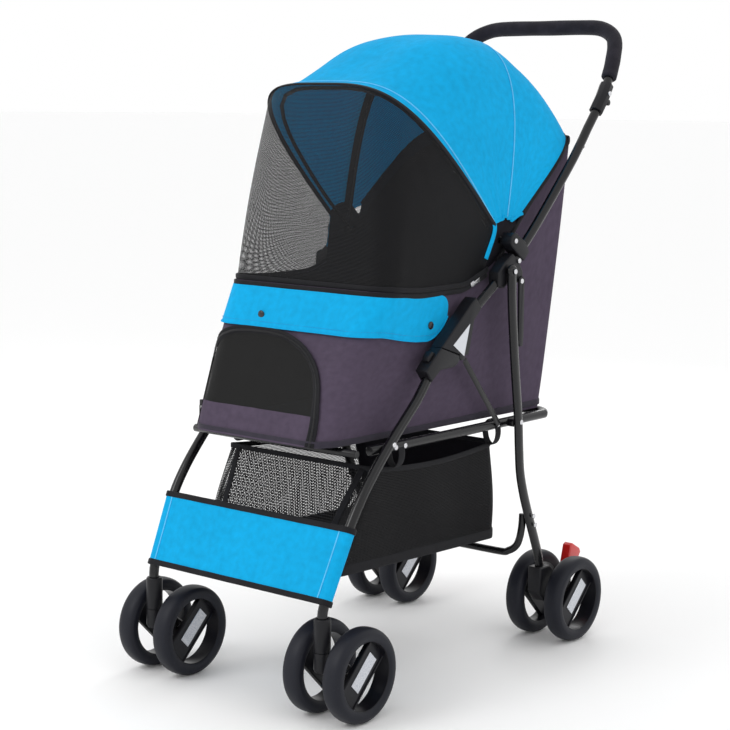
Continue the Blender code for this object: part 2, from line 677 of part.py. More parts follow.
# ---- canopy and its bows --------------------------------------------------------------------
BOW_R = 0.0033
BOW_INSET = 0.0125
CANOPY_HALF_WIDTH = 0.1660
CANOPY_FOOT = 0.0330            # how far above the pivot the canopy's sides end
# arch height against its lean from upright (degrees, forward is positive), and its squareness
ARCHES = [(47.0, 0.347, 3.8), (40.0, 0.322, 3.7), (28.0, 0.312, 3.6), (10.0, 0.318, 3.5),
          (-10.0, 0.316, 3.4), (-22.0, 0.293, 3.8), (-34.0, 0.270, 4.8), (-46.5, 0.256, 7.0)]
FRONT_BOW_LEAN = 45.0
MIDDLE_BOW_LEAN = -10.0


def arch_values(lean):
    leans = [a[0] for a in ARCHES][::-1]
    height = np.interp(lean, leans, [a[1] for a in ARCHES][::-1])
    power = np.interp(lean, leans, [a[2] for a in ARCHES][::-1])
    return float(height), float(power)


def arch_curve(lean, count, foot=0.0, inset=0.0, foot_x=CANOPY_HALF_WIDTH):
    """Evenly spaced points on the canopy's arch, from the left foot to the right one."""
    height, power = arch_values(lean)
    back = math.radians(-lean)
    line = []
    for k in range(-180, 181):
        turn = math.radians(k / 2)
        up = (height - inset) * abs(math.cos(turn)) ** (2 / power)
        across = (CANOPY_HALF_WIDTH - inset) * abs(math.sin(turn)) ** (2 / power)
        across += (foot_x - across) * max(0.0, 1.0 - up / 0.10) ** 2
        if up >= foot:
            line.append(np.array((math.copysign(across, turn), CANOPY_PIVOT[0] + up * math.sin(back),
                                  CANOPY_PIVOT[1] + up * math.cos(back))))
    return evenly_spaced(line, count)


def build_bow(name, lean, foot_x, steel):
    """Round rod bent to the canopy's arch, with a flattened eye on each pivot."""
    path = arch_curve(lean, 27, 0.0, BOW_INSET, foot_x)
    bow = add_piece(name, rod(path, BOW_R, sides=6), steel, (0, *CANOPY_PIVOT))
    for sign in (-1, 1):
        eye = cylinder(CANOPY_PIVOT, 0.0058, *sorted((sign * (foot_x - 0.0045), sign * (foot_x + 0.0045))), 14)
        combine(bow, eye, "UNION")
        hole = cylinder(CANOPY_PIVOT, 0.0028 + GAP, *sorted((sign * (foot_x - 0.02), sign * (foot_x + 0.02))), 12)
        combine(bow, hole, "DIFFERENCE")


def build_canopy(fabric):
    leans = [46.0, 40.0, 34.0, 28.0, 10.0, -10.0, -22.0, -34.0, -46.5]
    outer = [arch_curve(lean, 21, CANOPY_FOOT) for lean in leans]
    inner = offset_grid(outer, -SHELL, False)
    add_piece("canopy", shell_between(outer, inner, False), fabric, (0, *CANOPY_PIVOT))


# ---- cabin ----------------------------------------------------------------------------------
CABIN_FRONT = -0.3480           # nose of the cabin's floor
CABIN_REAR = 0.1960
CABIN_HALF_WIDTH = 0.1500
RIM_FRONT = -0.2340
RIM_REAR = 0.2560
RIM_HALF_WIDTH = 0.1570
RIM_Z = 0.6080
BACK_TOP_Z = 0.8300
# height of the cabin's top edge along its side, against y
SIDE_EDGE = [(-0.2340, 0.6110), (-0.1500, 0.6040), (-0.0400, 0.6050), (0.0250, 0.6280),
             (0.0620, 0.6500), (0.0950, 0.6900), (0.2450, 0.8270), (0.2560, 0.8300)]


def rounded_plan(front, rear, half_front, half_rear, front_r, rear_r):
    """Closed plan outline with round front and rear corners, from the middle of the front."""
    half = []
    for k in range(3):
        half.append((half_front - front_r) * k / 3)
    points = [(x, front) for x in half]
    for k in range(5):
        angle = math.radians(-90 + 22.5 * k)
        points.append((half_front - front_r + front_r * math.cos(angle),
                       front + front_r + front_r * math.sin(angle)))
    for k in range(1, 8):
        t = k / 8
        points.append((half_front + (half_rear - half_front) * t,
                       front + front_r + (rear - rear_r - front - front_r) * t))
    for k in range(3):
        angle = math.radians(45 * k)
        points.append((half_rear - rear_r + rear_r * math.cos(angle),
                       rear - rear_r + rear_r * math.sin(angle)))
    for k in range(1, 4):
        points.append(((half_rear - rear_r) * (1 - k / 3), rear))
    mirrored = [(-x, y) for x, y in points[-2:0:-1]]
    return points + mirrored


def cabin_ring(level, inset=0.0):
    """Ring of the cabin wall; level 0 is the floor's edge and 1 is the top edge."""
    low = rounded_plan(CABIN_FRONT + inset, CABIN_REAR - inset, 0.1360 - inset,
                       CABIN_HALF_WIDTH - inset, 0.045, 0.025)
    high = rounded_plan(RIM_FRONT + inset, RIM_REAR - inset, RIM_HALF_WIDTH - inset,
                        RIM_HALF_WIDTH - inset, 0.038, 0.020)
    ys = [p[0] for p in SIDE_EDGE]
    zs = [p[1] for p in SIDE_EDGE]
    ring = []
    for (x0, y0), (x1, y1) in zip(low, high):
        top = float(np.interp(y1, ys, zs))
        ring.append(np.array((x0 + (x1 - x0) * level, y0 + (y1 - y0) * level,
                              FLOOR_Z + (top - FLOOR_Z) * level)))
    return ring


def build_cabin(fabric, board):
    """Fabric tub with its floor board, and the bound rim that the screen zips to."""
    rings = [cabin_ring(level) for level in (0.0, 0.15, 0.4, 0.7, 1.0)]
    add_piece("cabin_tub", open_bag(rings, SHELL), fabric, (0, *SEAT_PIVOT))
    plan = rounded_plan(CABIN_FRONT + 0.012, CABIN_REAR - 0.006, 0.1260, CABIN_HALF_WIDTH - 0.006,
                        0.038, 0.022)
    bm = bmesh.new()
    base = FLOOR_Z + SHELL + GAP
    low = [bm.verts.new((x, y, base)) for x, y in plan]
    high = [bm.verts.new((x, y, base + 0.008)) for x, y in plan]
    bm.faces.new(low)
    bm.faces.new(high)
    for k in range(len(plan)):
        n = (k + 1) % len(plan)
        bm.faces.new((low[k], low[n], high[n], high[k]))
    add_piece("floor_board", outward(bm), board, (0, *SEAT_PIVOT))


def rim_curve(count):
    """Points along the top edge from its left end, round the front, to its right end."""
    ring = cabin_ring(1.0)
    half = len(ring) // 2
    right = [p for p in ring[:half] if p[1] < 0.020]
    left = [np.array((-p[0], p[1], p[2])) for p in right[:0:-1]]
    return evenly_spaced(left + right, count)


def build_screen(mesh_fabric):
    """Net front of the cabin, from the canopy's front edge down to the rim."""
    count = 21
    top = [p + np.array((0, -0.0012, -0.0012)) for p in arch_curve(47.0, count, 0.030)]
    bottom = [p + np.array((0, 0, 0.0010)) for p in rim_curve(count)]
    grid = []
    for level in (0.0, 0.2, 0.45, 0.7, 1.0):
        belly = 0.010 * math.sin(math.pi * level)
        row = []
        for k in range(count):
            p = top[k] * (1 - level) + bottom[k] * level
            row.append(p + np.array((0, -belly * math.sin(math.pi * k / (count - 1)), 0)))
        grid.append(row)
    inner = offset_grid(grid, -0.0020, False)
    add_piece("screen", shell_between(grid, inner, False), mesh_fabric, (0, *CANOPY_PIVOT))


# ---- basket and apron -----------------------------------------------------------------------
APRON_TOP = (-0.3330, 0.2770)
APRON_FOOT = (-0.3800, 0.1740)


def build_basket(mesh_fabric):
    """Net basket slung between the legs, its mouth at the seat rails."""
    low = rounded_plan(-0.3300, 0.1000, 0.1380, 0.1380, 0.030, 0.030)
    high = rounded_plan(-0.2450, 0.0650, 0.1510, 0.1510, 0.012, 0.020)
    rings = []
    for level in (0.0, 0.12, 0.5, 1.0):
        spread = min(1.0, level * 1.0)
        ring = []
        for (x0, y0), (x1, y1) in zip(low, high):
            floor = 0.1820 + 0.012 * (0.10 - y0) / 0.43
            mouth = 0.3480
            ring.append(np.array((x0 + (x1 - x0) * spread, y0 + (y1 - y0) * spread,
                                  floor + (mouth - floor) * level)))
        rings.append(ring)
    add_piece("basket", open_bag(rings, 0.0030), mesh_fabric, (0, 0.1110, 0.1540))


def build_apron(fabric):
    """Fabric panel laced across the front legs."""
    dy, dz = APRON_TOP[0] - APRON_FOOT[0], APRON_TOP[1] - APRON_FOOT[1]
    size = math.hypot(dy, dz)
    ny, nz = -dz / size, dy / size
    grid_front, grid_back = [], []
    for level in np.linspace(0, 1, 5):
        centre = np.array((0.0, APRON_FOOT[0] + dy * level, APRON_FOOT[1] + dz * level))
        spread = FRONT_TRACK + 0.001 + (FRAME_X - FRONT_TRACK) * level
        front, back = [], []
        for x in np.linspace(-1, 1, 13):
            stand = 0.0115
            place = centre + np.array((x * (spread + 0.009), ny * stand, nz * stand))
            front.append(place)
            back.append(place - np.array((0.0, ny, nz)) * 0.0025)
        grid_front.append(front)
        grid_back.append(back)
    add_piece("apron", shell_between(grid_front, grid_back, False), fabric,
              (0, *APRON_FOOT))


# ---- the whole stroller -----------------------------------------------------------------------
def main():
    start_scene()
    steel = make_material("black_steel", (0.020, 0.020, 0.024), 0.35, 0.6)
    zinc = make_material("zinc_steel", (0.60, 0.60, 0.62), 0.3, 1.0)
    plastic = make_material("black_plastic", (0.025, 0.025, 0.030), 0.5)
    rubber = make_material("tyre_foam", (0.035, 0.035, 0.045), 0.6)
    foam = make_material("grip_foam", (0.030, 0.029, 0.036), 0.85)
    red = make_material("red_plastic", (0.70, 0.02, 0.03), 0.4)
    blue = make_material("blue_fabric", (0.01, 0.38, 0.76), 0.85)
    grey = make_material("grey_fabric", (0.095, 0.078, 0.100), 0.9)
    net = make_material("black_net", (0.02, 0.02, 0.022), 0.8)
    board = make_material("board", (0.06, 0.05, 0.06), 0.8)

    build_wheels(rubber, plastic, zinc)
    both_sides(lambda tag, sign: build_caster(tag, sign, plastic))
    both_sides(lambda tag, sign: build_rear_housing(tag, sign, plastic, red))
    both_sides(lambda tag, sign: build_front_leg(tag, sign, steel))
    both_sides(lambda tag, sign: build_rear_leg(tag, sign, steel))
    both_sides(lambda tag, sign: build_knee(tag, sign, plastic))
    both_sides(lambda tag, sign: build_hub(tag, sign, plastic))
    both_sides(lambda tag, sign: build_canopy_bracket(tag, sign, plastic))
    both_sides(lambda tag, sign: build_brace(tag, sign, steel))
    both_sides(lambda tag, sign: build_handle_clamp(tag, sign, plastic))
    build_handle(steel, foam)
    build_seat_frame(steel)
    build_front_bar(steel)
    build_basket_tube(steel)
    build_latch(plastic)
    build_bow("front_bow", FRONT_BOW_LEAN, 0.1435, steel)
    build_bow("middle_bow", MIDDLE_BOW_LEAN, 0.1540, steel)
    build_canopy(blue)
    build_cabin(grey, board)
    build_screen(net)
    build_basket(net)
    build_apron(blue)


main()
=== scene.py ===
"""A folding pet stroller: steel frame, twin wheels, zipped mesh cabin, canopy and lower basket."""
import math

import bmesh
import bpy
import numpy as np
from mathutils import Matrix, Vector


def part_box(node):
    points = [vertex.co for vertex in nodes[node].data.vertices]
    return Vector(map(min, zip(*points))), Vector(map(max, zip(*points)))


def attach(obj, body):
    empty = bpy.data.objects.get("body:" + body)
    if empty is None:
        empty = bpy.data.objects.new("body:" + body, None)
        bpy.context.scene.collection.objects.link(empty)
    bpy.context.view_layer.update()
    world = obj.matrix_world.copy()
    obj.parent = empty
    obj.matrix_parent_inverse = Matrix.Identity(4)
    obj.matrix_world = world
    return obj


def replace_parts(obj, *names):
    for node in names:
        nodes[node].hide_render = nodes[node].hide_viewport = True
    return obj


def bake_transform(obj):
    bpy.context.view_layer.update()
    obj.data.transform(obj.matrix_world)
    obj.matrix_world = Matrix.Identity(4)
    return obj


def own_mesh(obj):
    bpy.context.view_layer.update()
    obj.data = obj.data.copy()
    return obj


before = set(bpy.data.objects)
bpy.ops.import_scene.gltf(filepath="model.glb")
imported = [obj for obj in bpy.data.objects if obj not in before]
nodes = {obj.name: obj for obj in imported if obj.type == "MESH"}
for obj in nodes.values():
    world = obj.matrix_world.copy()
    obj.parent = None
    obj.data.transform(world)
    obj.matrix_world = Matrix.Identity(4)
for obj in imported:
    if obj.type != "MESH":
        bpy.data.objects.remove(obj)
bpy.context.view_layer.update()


# ---- Camera, floor and light -------------------------------------------------------------------
# The stroller stands on a pale floor that runs into a pale room. One large soft lamp in front
# and above, a weaker one on the right and a low one behind give soft highlights on the tubes.
AIM = Vector((0.00691, -0.09437, 0.47140))
DISTANCE = 2.85426
TURN, RISE, ROLL = math.radians(39.386), math.radians(8.238), math.radians(0.663)

behind = Vector((math.sin(TURN) * math.cos(RISE), -math.cos(TURN) * math.cos(RISE), math.sin(RISE)))
level_right = (-behind).cross(Vector((0, 0, 1))).normalized()
level_up = level_right.cross(-behind)
right = math.cos(ROLL) * level_right + math.sin(ROLL) * level_up
up = -math.sin(ROLL) * level_right + math.cos(ROLL) * level_up


def add_object(name, data):
    """New object in the scene."""
    made = bpy.data.objects.new(name, data)
    bpy.context.scene.collection.objects.link(made)
    return made


camera = add_object("camera", bpy.data.cameras.new("camera"))
camera.data.lens = 89.62
camera.data.sensor_width = 36.0
turned = Matrix((right, up, behind)).transposed().to_4x4()
camera.matrix_world = Matrix.Translation(AIM + behind * DISTANCE) @ turned
bpy.context.scene.camera = camera
bpy.context.scene.view_settings.view_transform = "Standard"

world = bpy.data.worlds.new("studio")
world.use_nodes = True
world.node_tree.nodes["Background"].inputs["Color"].default_value = (1.0, 1.0, 1.0, 1.0)
world.node_tree.nodes["Background"].inputs["Strength"].default_value = 1.0
bpy.context.scene.world = world


def lamp(name, place, power, size):
    light = bpy.data.lights.new(name, "AREA")
    light.shape = "DISK"
    light.size = size
    light.energy = power
    hung = add_object(name, light)
    hung.location = place
    hung.rotation_euler = (AIM - Vector(place)).to_track_quat("-Z", "Y").to_euler()


lamp("key_lamp", (-0.9, -2.6, 2.4), 26.0, 1.4)
lamp("side_lamp", (2.6, 0.2, 1.6), 2.5, 1.0)
lamp("back_lamp", (-1.0, 2.4, 1.8), 8.0, 1.0)

FLOOR_REACH = 90
floor = bpy.data.meshes.new("floor")
floor.from_pydata([(x * FLOOR_REACH, y * FLOOR_REACH, 0) for x, y in ((-1, -1), (1, -1), (1, 1), (-1, 1))],
                  [], [(0, 1, 2, 3)])
add_object("floor", floor)
floor_paint = bpy.data.materials.new("floor_paint")
floor_paint.use_nodes = True
floor_paint.node_tree.nodes["Principled BSDF"].inputs["Base Color"].default_value = (0.97, 0.97, 0.97, 1)
floor_paint.node_tree.nodes["Principled BSDF"].inputs["Roughness"].default_value = 0.7
floor.materials.append(floor_paint)


# ---- Steel frame tubes -------------------------------------------------------------------------
# The legs, the handle, the seat rails and the basket's tube are 15 mm round or flattened steel
# tube, bent cold and powder coated gloss black. Each follows the middle line of its own CAD tube.
TUBE_R, THIN_R = 0.0075, 0.006
FRAME_X, LEG_FOOT_X = 0.1773, 0.1704
SIDES = (("left", -1), ("right", 1))
WELD = 2e-5


def add_mesh(name, verts, faces, material, smooth_angle=40):
    """New piece from points and faces, with its normals out and smooth up to an angle."""
    mesh = bpy.data.meshes.new(name)
    mesh.from_pydata([tuple(v) for v in verts], [], faces)
    bm = bmesh.new()
    bm.from_mesh(mesh)
    bmesh.ops.remove_doubles(bm, verts=bm.verts, dist=1e-6)
    bmesh.ops.recalc_face_normals(bm, faces=bm.faces)
    bm.to_mesh(mesh)
    bm.free()
    mesh.shade_smooth()
    mesh.set_sharp_from_angle(angle=math.radians(smooth_angle))
    mesh.materials.append(material)
    return add_object(name, mesh)


def curve_through(points, steps):
    """Smooth curve through the points, with `steps` spans between each two."""
    pts = [np.array(p, float) for p in points]
    ends = [2 * pts[0] - pts[1]] + pts + [2 * pts[-1] - pts[-2]]
    curve = []
    for a, b, c, d in zip(ends, ends[1:], ends[2:], ends[3:]):
        for k in range(steps):
            t = k / steps
            curve.append(0.5 * (2 * b + (c - a) * t + (2 * a - 5 * b + 4 * c - d) * t ** 2
                                + (3 * b - 3 * c + d - a) * t ** 3))
    curve.append(pts[-1])
    return curve


def distances(points):
    """How far along a line each of its points lies."""
    return np.concatenate([[0], np.cumsum(np.linalg.norm(np.diff(points, axis=0), axis=1))])


def spaced(points, count):
    """The same line with `count` points at equal distances."""
    pts = np.array(points, float)
    travelled = distances(pts)
    wanted = np.linspace(0, travelled[-1], count)
    return [np.array(p) for p in zip(*[np.interp(wanted, travelled, pts[:, k]) for k in range(3)])]


def tube_line(node, end, sides):
    """Middle line of a CAD tube: ring by ring from the end nearest to a point, while rings are whole."""
    bm = bmesh.new()
    bm.from_mesh(nodes[node].data)
    bmesh.ops.remove_doubles(bm, verts=bm.verts, dist=WELD)
    end = Vector(end)
    ring = sorted(bm.verts, key=lambda v: (v.co - end).length)[:sides]
    seen, line = set(ring), []
    while len(ring) == sides:
        line.append(np.array(sum((v.co for v in ring), Vector()) / sides))
        ring = list({e.other_vert(v) for v in ring for e in v.link_edges} - seen)
        seen.update(ring)
    bm.free()
    return line


def directions(pts, closed):
    """Unit direction of a line at each of its points."""
    steps = np.roll(pts, -1, 0) - np.roll(pts, 1, 0) if closed else np.gradient(pts, axis=0)
    return steps / np.linalg.norm(steps, axis=1)[:, None]


def skin_faces(rows, around, closed):
    """Faces of a skin over `rows` rings of `around` points each."""
    faces = []
    for i in range(rows if closed else rows - 1):
        for k in range(around):
            n, j = (k + 1) % around, (i + 1) % rows
            faces.append((i * around + k, i * around + n, j * around + n, j * around + k))
    return faces


def sweep(name, path, half_width, half_depth, material, around=24, closed=False):
    """Round or oval rod along a path, its width kept sideways as far as the bends let it."""
    pts = np.array(path, float)
    tangents = directions(pts, closed)
    across = np.array((1.0, 0.0, 0.0))
    if abs(across @ tangents[0]) > 0.9:
        across = np.array((0.0, 0.0, 1.0))
    verts = []
    for point, along in zip(pts, tangents):
        across = across - along * (across @ along)
        across /= np.linalg.norm(across)
        other = np.cross(along, across)
        for k in range(around):
            turn = 2 * math.pi * k / around
            verts.append(point + across * half_width * math.cos(turn) + other * half_depth * math.sin(turn))
    rows = len(pts)
    faces = skin_faces(rows, around, closed)
    if not closed:
        for row, step in ((0, -1), (rows - 1, 1)):
            middle = pts[row] + tangents[row] * step * half_width * 0.18
            ring = [np.array(verts[row * around + k]) for k in range(around)]
            base = len(verts)
            verts += [middle + (p - pts[row]) * 0.86 for p in ring]
            for k in range(around):
                n = (k + 1) % around
                faces.append((row * around + k, row * around + n, base + n, base + k))
            faces.append(tuple(range(base, base + around)))
    return add_mesh(name, verts, faces, material)


def principled(name, colour, roughness, metallic=0.0, coat=0.0, sheen=0.0, shine=0.5):
    """New node material; returns it with its node tree and its shader."""
    made = bpy.data.materials.new(name)
    made.use_nodes = True
    shader = made.node_tree.nodes["Principled BSDF"]
    shader.inputs["Base Color"].default_value = (*colour, 1.0)
    shader.inputs["Roughness"].default_value = roughness
    shader.inputs["Metallic"].default_value = metallic
    shader.inputs["Coat Weight"].default_value = coat
    shader.inputs["Coat Roughness"].default_value = 0.12
    shader.inputs["Sheen Weight"].default_value = sheen
    shader.inputs["Specular IOR Level"].default_value = shine
    return made, made.node_tree, shader


def put(tree, kind, values=(), **settings):
    """New node with its settings, and with values or links on its sockets by name or number."""
    node = tree.nodes.new(kind)
    for key, value in settings.items():
        setattr(node, key, value)
    for key, value in dict(values).items():
        if isinstance(value, bpy.types.NodeSocket):
            tree.links.new(value, node.inputs[key])
        else:
            node.inputs[key].default_value = value
    return node


def start_group(name, inputs, outputs):
    """New shader node group with named sockets given as (name, kind, default)."""
    tree = bpy.data.node_groups.new(name, "ShaderNodeTree")
    for label, kind, default in inputs:
        socket = tree.interface.new_socket(name=label, in_out="INPUT", socket_type=kind)
        if default is not None:
            socket.default_value = default
    for label, kind in outputs:
        tree.interface.new_socket(name=label, in_out="OUTPUT", socket_type=kind)
    return tree, tree.nodes.new("NodeGroupInput").outputs, tree.nodes.new("NodeGroupOutput").inputs


def calculate(tree, operation, *values):
    """Result of one maths node on numbers or links."""
    return put(tree, "ShaderNodeMath", dict(enumerate(values)), operation=operation).outputs[0]


def dress(tree, shader, height, strength, distance, **links):
    """Links a shader's inputs, named with _ for each space, and bumps it by a height."""
    relief = put(tree, "ShaderNodeBump", {"Height": height, "Strength": strength, "Distance": distance})
    for label, socket in {**links, "Normal": relief.outputs["Normal"]}.items():
        tree.links.new(socket, shader.inputs[label.replace("_", " ")])


def build_skin_group():
    """Fine skin of a coated or moulded surface: grain, faint uneven gloss and small rubbed spots."""
    tree, given, out = start_group(
        "surface_skin",
        [("Grain", "NodeSocketFloat", 900.0), ("Colour", "NodeSocketColor", (0, 0, 0, 1)),
         ("Rubbed Colour", "NodeSocketColor", (0.1, 0.1, 0.1, 1)), ("Roughness", "NodeSocketFloat", 0.4),
         ("Unevenness", "NodeSocketFloat", 0.12)],
        [("Colour", "NodeSocketColor"), ("Roughness", "NodeSocketFloat"), ("Height", "NodeSocketFloat")])
    place = put(tree, "ShaderNodeTexCoord").outputs["Object"]
    grain = put(tree, "ShaderNodeTexNoise", {"Vector": place, "Scale": given["Grain"], "Detail": 2.0})
    patches = put(tree, "ShaderNodeTexNoise", {"Vector": place, "Scale": 34.0, "Detail": 5.0})
    rubbed = put(tree, "ShaderNodeTexNoise", {"Vector": place, "Scale": 150.0, "Detail": 3.0})
    spots = put(tree, "ShaderNodeMapRange", {"Value": rubbed.outputs[0], "From Min": 0.64, "From Max": 0.80,
                                             "To Max": 0.35})
    mixed = put(tree, "ShaderNodeMix", {"Factor": spots.outputs[0], 6: given["Colour"],
                                        7: given["Rubbed Colour"]}, data_type="RGBA")
    swing = calculate(tree, "SUBTRACT", patches.outputs[0], 0.5)
    swing = calculate(tree, "MULTIPLY", swing, given["Unevenness"])
    tree.links.new(mixed.outputs[2], out["Colour"])
    tree.links.new(calculate(tree, "ADD", swing, given["Roughness"]), out["Roughness"])
    tree.links.new(grain.outputs[0], out["Height"])
    return tree


surface_skin = build_skin_group()


def skinned(name, colour, rubbed, roughness, grain, bump, metallic=0.0, coat=0.0, unevenness=0.12,
            shine=0.5):
    """Coated or moulded material on the shared skin group."""
    made, tree, shader = principled(name, colour, roughness, metallic, coat, shine=shine)
    skin = put(tree, "ShaderNodeGroup", node_tree=surface_skin)
    for label, value in (("Grain", grain), ("Colour", (*colour, 1)), ("Rubbed Colour", (*rubbed, 1)),
                         ("Roughness", roughness), ("Unevenness", unevenness)):
        skin.inputs[label].default_value = value
    dress(tree, shader, skin.outputs["Height"], bump, 0.0004, Base_Color=skin.outputs["Colour"],
          Roughness=skin.outputs["Roughness"])
    return made


black_coat = skinned("black_powder_coat", (0.004, 0.004, 0.005), (0.018, 0.018, 0.020), 0.26, 1400, 0.06,
                     coat=0.18, shine=0.30)


def settle(piece, body, replaces=None):
    """Gives a piece its body, and where it has one hides the node that it stands for."""
    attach(piece, body)
    if replaces:
        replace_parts(piece, replaces)
    return piece


def frame_tube(name, path, body, replaces=None, half_width=TUBE_R, half_depth=TUBE_R):
    return settle(sweep(name, path, half_width, half_depth, black_coat), body, replaces)


for side, sign in SIDES:
    low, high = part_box("front_leg_" + side)
    line = tube_line("front_leg_" + side, (sign * LEG_FOOT_X, low.y + TUBE_R, low.z), 8)
    frame_tube("front_leg_tube_" + side, curve_through(line, 4), "front_frame", "front_leg_" + side)

handle_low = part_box("handle_tube")[0]
handle_line = tube_line("handle_tube", (-FRAME_X, handle_low.y, handle_low.z), 8)
frame_tube("handle_bar_tube", curve_through(handle_line, 4), "handle_frame", "handle_tube")

basket_low, basket_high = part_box("basket_tube")
line = tube_line("basket_tube", (basket_low.x + THIN_R, basket_high.y - THIN_R, basket_high.z), 8)
frame_tube("basket_rear_tube", curve_through(line, 4), "rear_frame", "basket_tube", THIN_R, THIN_R)


# ---- Rear legs ---------------------------------------------------------------------------------
# Each rear leg is a steel tube pressed oval, 19 by 11 mm, with a flat round eye at its top that
# turns on the hub's rivet. The right one carries the small lug for the folding hook.
LEG_HALF_WIDTH, LEG_HALF_DEPTH = 0.0056, 0.0093
HUB_Y, HUB_Z = 0.032, 0.6235
EYE_R = 0.0052


def moulding(node, name, material, body, width=0.0008):
    """Refined copy of a moulded CAD part: merged, with rounded edges and smooth round faces."""
    mesh = nodes[node].data.copy()
    bm = bmesh.new()
    bm.from_mesh(mesh)
    bmesh.ops.remove_doubles(bm, verts=bm.verts, dist=WELD)
    bmesh.ops.dissolve_limit(bm, angle_limit=math.radians(1.0), verts=bm.verts, edges=bm.edges)
    sharp = [e for e in bm.edges if e.is_manifold and e.calc_face_angle(0) > math.radians(32)]
    bmesh.ops.bevel(bm, geom=sharp, offset=width, offset_type="OFFSET", segments=2, profile=0.5,
                    affect="EDGES", clamp_overlap=True)
    bm.to_mesh(mesh)
    bm.free()
    mesh.name = name
    mesh.materials.clear()
    mesh.materials.append(material)
    mesh.shade_smooth()
    mesh.set_sharp_from_angle(angle=math.radians(30))
    return settle(add_object(name, mesh), body, node)


for side, sign in SIDES:
    low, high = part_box("rear_leg_" + side)
    line = tube_line("rear_leg_" + side, (sign * 0.1735, 0.160, low.z), 10)
    top = np.array((sign * 0.1950, HUB_Y, HUB_Z))
    line = [p for p in line if p[2] < HUB_Z - 0.012] + [top]
    frame_tube("rear_leg_tube_" + side, curve_through(line, 4), "rear_frame", "rear_leg_" + side,
               LEG_HALF_WIDTH, LEG_HALF_DEPTH)
    eye = []
    for k in range(48):
        turn = 2 * math.pi * k / 48
        eye.append(top + np.array((0, EYE_R * math.cos(turn), EYE_R * math.sin(turn))))
    ring = sweep("rear_leg_eye_" + side, eye, LEG_HALF_WIDTH - 0.0003, 0.0055, black_coat, closed=True)
    settle(ring, "rear_frame")


# ---- Seat frame --------------------------------------------------------------------------------
# The seat rails and the rear bar are one round tube bent to a U and laid flat, with a welded cross
# bar at the front and a welded boss on each rail for the rear leg's rivet. Plastic plugs close it.
seat_low, seat_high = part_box("seat_frame")
RAIL_X, SEAT_Z = 0.1618, 0.378
seat_rear = seat_high.y - TUBE_R
BEND = 0.030
corner = []
for k in range(9):
    turn = math.radians(90 * k / 8)
    corner.append((RAIL_X - BEND + BEND * math.cos(turn), seat_rear - BEND + BEND * math.sin(turn), SEAT_Z))
half = [(RAIL_X, seat_low.y, SEAT_Z + 0.001), (RAIL_X, -0.15, SEAT_Z), (RAIL_X, 0.05, SEAT_Z)] + corner
seat_path = [(-x, y, z) for x, y, z in half] + [(0.06 - 0.04 * k, seat_rear, SEAT_Z) for k in range(4)][::-1]
seat_path += half[::-1]
frame_tube("seat_rail_tube", curve_through(seat_path, 2), "seat", "seat_frame")
CROSS_BAR_Y = -0.300
frame_tube("seat_cross_bar", [(x, CROSS_BAR_Y, SEAT_Z) for x in (-RAIL_X, 0, RAIL_X)], "seat", None,
           THIN_R, THIN_R)
leg_bar_low, leg_bar_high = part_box("front_cross_bar")
leg_bar_middle = (leg_bar_low + leg_bar_high) / 2
bar_path = [(x, leg_bar_middle.y, leg_bar_middle.z) for x in (leg_bar_low.x, 0.0, leg_bar_high.x)]
frame_tube("leg_cross_bar", bar_path, "front_frame", "front_cross_bar", THIN_R, THIN_R)
for side, sign in SIDES:
    boss_path = [(sign * x, 0.072, SEAT_Z) for x in (0.1640, 0.1715, 0.1785)]
    frame_tube("seat_boss_" + side, boss_path, "seat", None, THIN_R, THIN_R)
    moulding("brace_" + side, "knee_strut_" + side, black_coat, "brace_" + side, 0.0005)


# ---- Moulded joints of the frame ---------------------------------------------------------------
# The knee jaws, hubs, canopy brackets and handle clamps are injection moulded from black nylon
# with a fine spark grain. They are riveted to the tubes.
black_nylon = skinned("black_nylon", (0.007, 0.007, 0.009), (0.018, 0.018, 0.021), 0.42, 2200, 0.22,
                      shine=0.25)
MOULDED = {"upper_knee": "handle_frame", "lower_knee": "front_frame", "hub": "handle_frame",
           "canopy_bracket": "handle_frame", "handle_clamp": "handle_frame"}
for kind, body in MOULDED.items():
    for side in ("left", "right"):
        moulding(kind + "_" + side, kind + "_moulding_" + side, black_nylon, body)
for side in ("left", "right"):
    moulding("lock_tab_" + side, "lock_tab_moulding_" + side, black_nylon,
             "lock_tab_" + side, 0.0005)
    moulding("caster_housing_" + side, "caster_collar_" + side, black_nylon, "front_frame")
    moulding("caster_fork_" + side, "caster_fork_moulding_" + side, black_nylon,
             "caster_" + side)
    moulding("rear_wheel_housing_" + side, "rear_housing_moulding_" + side, black_nylon,
             "rear_frame")
moulding("latch_strap", "folding_hook", black_nylon, "latch", 0.0004)


# ---- Knee reflectors ---------------------------------------------------------------------------
# A pale triangular reflector sticker on the outer face of each upper knee.
KNEE_ON_TUBE, KNEE_ALONG, KNEE_OUT = (-0.1212, 0.5150), (0.770, 0.638), (0.638, -0.770)
sticker_white = skinned("sticker_white", (0.62, 0.64, 0.68), (0.45, 0.46, 0.5), 0.25, 900, 0.03)
for side, sign in SIDES:
    corners = []
    for d, n in ((0.064, 0.008), (0.014, 0.004), (0.023, 0.036)):
        corners.append((KNEE_ON_TUBE[0] + KNEE_ALONG[0] * d + KNEE_OUT[0] * n,
                        KNEE_ON_TUBE[1] + KNEE_ALONG[1] * d + KNEE_OUT[1] * n))
    verts = [(sign * x, y, z) for x in (0.1886, 0.1894) for y, z in corners]
    sticker = add_mesh("knee_reflector_" + side, verts,
                       [(0, 1, 2), (3, 4, 5), (0, 1, 4, 3), (1, 2, 5, 4), (2, 0, 3, 5)], sticker_white)
    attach(sticker, "handle_frame")


